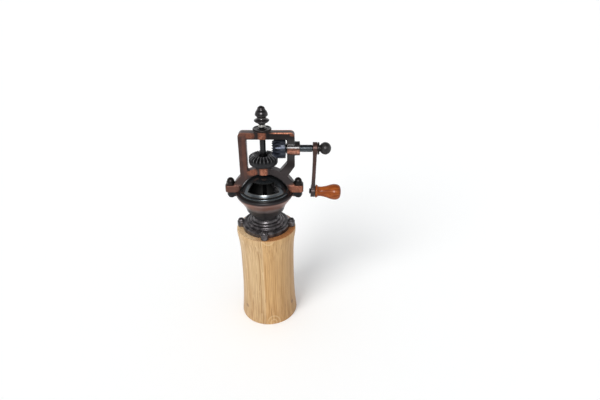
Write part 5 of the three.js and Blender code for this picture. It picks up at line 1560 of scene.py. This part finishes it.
knob = {
    "start": 2.5, "faceRadius": 5.9, "bore": 2.2, "boreEnd": 20.8, "length": 25.9, "sides": 128,
    "shape": ((6.3, 0.15), (6.65, 0.9), (6.2, 1.9), (5.2, 2.9), (4.9, 4.4), (4.95, 6.4), (5.35, 8.6),
              (5.9, 11.0), (6.7, 13.3), (7.4, 15.6), (7.9, 17.8), (8.0, 19.8), (7.75, 22.0),
              (6.9, 24.0), (5.4, 25.2), (3.4, 25.75)),
}


def makeKnob():
    size = knob
    start, bore, boreEnd = size["start"], size["bore"], size["boreEnd"]
    profile = [(0, boreEnd), (bore, boreEnd), (bore, start), (size["faceRadius"], start)]
    profile += [(radius, start + along) for radius, along in flowing(size["shape"], 4)]
    profile.append((0, start + size["length"]))
    mesh = turnedMesh(profile, size["sides"], onPin)
    finishMesh(mesh, "woodKnob", "knobWood", "knob", "wood_knob", 50)


makeOakBody()
makeFlange()
makeFlangeScrews()
print("body and flange made")
makeBowl()
makeDome()
makeDoor()
makeDoorKnob()
print("bowl and lid made")
makeGearFrame()
for label, side in (("Left", -1), ("Right", 1)):
    makeLugBolt(label, side * lugReach)
    makeAcornNut(label, side * lugReach)
print("gear frame made")
makeBigGear()
makeSmallGear()
makeShaft()
makeTopWasher()
for springName, spring in springs.items():
    makeSpring(springName, spring)
makeFinial()
print("gears and shaft made")
makeCrankShaft()
makeCrankArm()
makeArmWasher()
makeBallNut()
makeKnobPin()
makeKnob()
print("crank made")


# CAD pieces that stay as they are get their finish

keptNodes = {
    "door_clip": "brightSteel", "outer_burr": "burrSteel", "burr_bridge": "burrSteel",
    "burr_screw_1": "brightSteel", "burr_screw_2": "brightSteel", "burr_screw_3": "brightSteel",
    "inner_burr": "burrSteel", "burr_nut": "brightSteel",
}
for nodeName, finishName in keptNodes.items():
    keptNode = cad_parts[nodeName]
    if not keptNode.material_slots:
        keptNode.data.materials.append(None)
    for materialSlot in keptNode.material_slots:
        materialSlot.material = finishes[finishName]


# Floor, world, lamps and camera, in metres

floorSheet = {
    "halfSize": 12.0, "squares": 8, "colour": (0.90, 0.90, 0.905, 1), "speck": (0.88, 0.88, 0.88, 1),
    "specks": {"scale": 60.0, "detail": 2.0}, "speckRange": ((0.3, 0.7), (0.0, 0.02)),
    "seen": (0.99, 0.99, 0.99, 1), "lift": (0.040, 0.044, 0.048, 1), "mirrored": (0.25, 0.25, 0.25, 1),
    "tableEdge": (-0.60, -1.10),
    "surface": {"Emission Strength": 1.0, "Roughness": 0.9, "Specular IOR Level": 0.0},
}


# The floor is the white sheet itself to the camera, a little darker to its own bounced light, and ends in
# front of the grinder for mirrored rays, as a table does
def makeFloor():
    choice = floorSheet
    work = bmesh.new()
    squares = choice["squares"]
    bmesh.ops.create_grid(work, x_segments=squares, y_segments=squares, size=choice["halfSize"])
    floor = linkObject("floorSheet", meshFrom(work, "floorSheet"))
    material, tree, shader, position = startMaterial("paleFloor")
    ray = tree.nodes.new("ShaderNodeLightPath").outputs
    beyond = ranged(tree, partsOf(tree, position)["Y"], choice["tableEdge"])
    specks = ranged(tree, noise(tree, position, **choice["specks"]), *choice["speckRange"])
    sheet = mixed(tree, specks, choice["colour"], choice["speck"])
    sheet = mixed(tree, ray["Is Camera Ray"], sheet, choice["seen"])
    connect(tree, shader, {
        "Base Color": mixed(tree, times(tree, beyond, ray["Is Glossy Ray"]), sheet, choice["mirrored"]),
        "Emission Color": mixed(tree, ray["Is Camera Ray"], (0, 0, 0, 1), choice["lift"]),
        **choice["surface"],
    })
    floor.data.materials.append(material)


# A heading's parts run from -1 to 1: right, back and up. Stops are a height and the brightness there.
studioWorld = {
    "around": ((0.0, 1.0), (0.36, 1.0), (0.55, 0.30), (0.80, 0.10), (1.0, 0.10)),
    "ahead": ((0.0, 0.28), (0.30, 0.30), (0.40, 1.0), (0.58, 1.0), (0.68, 0.12)),
    "aheadFrom": (-0.25, -0.65),
    "blueShare": 1.02, "glow": 5.0, "glowAside": (0.50, 0.04), "glowLow": (0.37, 0.46),
    "glowHigh": (0.70, 0.58),
    "glowFront": (-0.25, -0.50), "light": {"Color": (0.97, 0.985, 1.0, 1), "Strength": 0.60},
    "seen": {"Color": (1, 1, 1, 1), "Strength": 1.0},
}


def levelRamp(tree, value, stops):
    made = addNode(tree, "ShaderNodeValToRGB", {0: value})
    ramp = made.color_ramp
    while len(ramp.elements) < len(stops):
        ramp.elements.new(0.5)
    for element, (place, level) in zip(ramp.elements, stops):
        element.position = place
        element.color = (level, level, level * studioWorld["blueShare"], 1)
    return made.outputs[0]


# Shiny surfaces mirror a pale backdrop at the sides and the back, a dim room with a bright strip in
# front, and a dark ceiling
def makeWorld():
    choice = studioWorld
    world = bpy.data.worlds.new("studio")
    bpy.context.scene.world = world
    world.use_nodes = True
    tree = world.node_tree
    tree.nodes.clear()
    heading = partsOf(tree, tree.nodes.new("ShaderNodeTexCoord").outputs["Generated"])
    around = levelRamp(tree, heading["Z"], choice["around"])
    ahead = levelRamp(tree, heading["Z"], choice["ahead"])
    room = mixed(tree, ranged(tree, heading["Y"], choice["aheadFrom"]), around, ahead)
    glow = ranged(tree, calculate(tree, "ABSOLUTE", heading["X"]), choice["glowAside"])
    for part, limit in (("Z", "glowLow"), ("Z", "glowHigh"), ("Y", "glowFront")):
        glow = times(tree, glow, ranged(tree, heading[part], choice[limit]))
    level = calculate(tree, "MULTIPLY_ADD", glow, choice["glow"], 1.0)
    seen, mirrored, light = (
        addNode(tree, "ShaderNodeBackground", inputs).outputs[0]
        for inputs in (choice["seen"], {"Color": room, "Strength": level}, choice["light"]))
    ray = tree.nodes.new("ShaderNodeLightPath").outputs
    isShiny = calculate(tree, "MAXIMUM", ray["Is Glossy Ray"], ray["Is Transmission Ray"])
    unseen = addNode(tree, "ShaderNodeMixShader", {0: isShiny, 1: light, 2: mirrored}).outputs[0]
    surface = addNode(tree, "ShaderNodeMixShader", {0: ray["Is Camera Ray"], 1: unseen, 2: seen}).outputs[0]
    addNode(tree, "ShaderNodeOutputWorld", {"Surface": surface})


lamps = {
    "sun": {"energy": 2.1, "color": (1.0, 0.985, 0.96), "angle": math.radians(36.0)},
    "sunFrom": (-0.584, -0.812, 0.73), "sunAt": (0, 0, 0),
    "softbox": {"energy": 4.6, "shape": "RECTANGLE", "size": 0.34, "size_y": 0.30},
    "softboxFrom": (-0.03, -0.76, 0.66), "softboxAt": (-0.019, 0, 0.18),
}


def addLamp(name, kind, settings, place, target):
    data = bpy.data.lights.new(name, kind)
    for setting, value in settings.items():
        setattr(data, setting, value)
    lamp = linkObject(name, data)
    lamp.location = place
    lamp.rotation_euler = (Vector(target) - Vector(place)).to_track_quat("-Z", "Y").to_euler()
    return lamp


# The sun lights the object but isn't mirrored in it, and the softbox is only mirrored
def makeLamps():
    sun = addLamp("keySun", "SUN", lamps["sun"], lamps["sunFrom"], lamps["sunAt"])
    sun.visible_glossy = False
    softbox = addLamp("frontSoftbox", "AREA", lamps["softbox"], lamps["softboxFrom"], lamps["softboxAt"])
    softbox.visible_diffuse = False


photoCamera = {"lens": 24.9, "sensor": 36.0, "place": (0.016884, -0.37530, 0.35077), "tilt": 61.133,
               "nearest": 0.01, "farthest": 20.0}


def makeCamera():
    choice = photoCamera
    data = bpy.data.cameras.new("photoCamera")
    data.lens = choice["lens"]
    data.sensor_width = choice["sensor"]
    data.sensor_fit = "HORIZONTAL"
    data.clip_start = choice["nearest"]
    data.clip_end = choice["farthest"]
    camera = linkObject("photoCamera", data)
    camera.location = choice["place"]
    camera.rotation_euler = (math.radians(choice["tilt"]), 0, 0)
    bpy.context.scene.camera = camera


makeFloor()
makeWorld()
makeLamps()
makeCamera()
bpy.context.scene.view_settings.view_transform = "Standard"
print("floor, lamps and camera made")
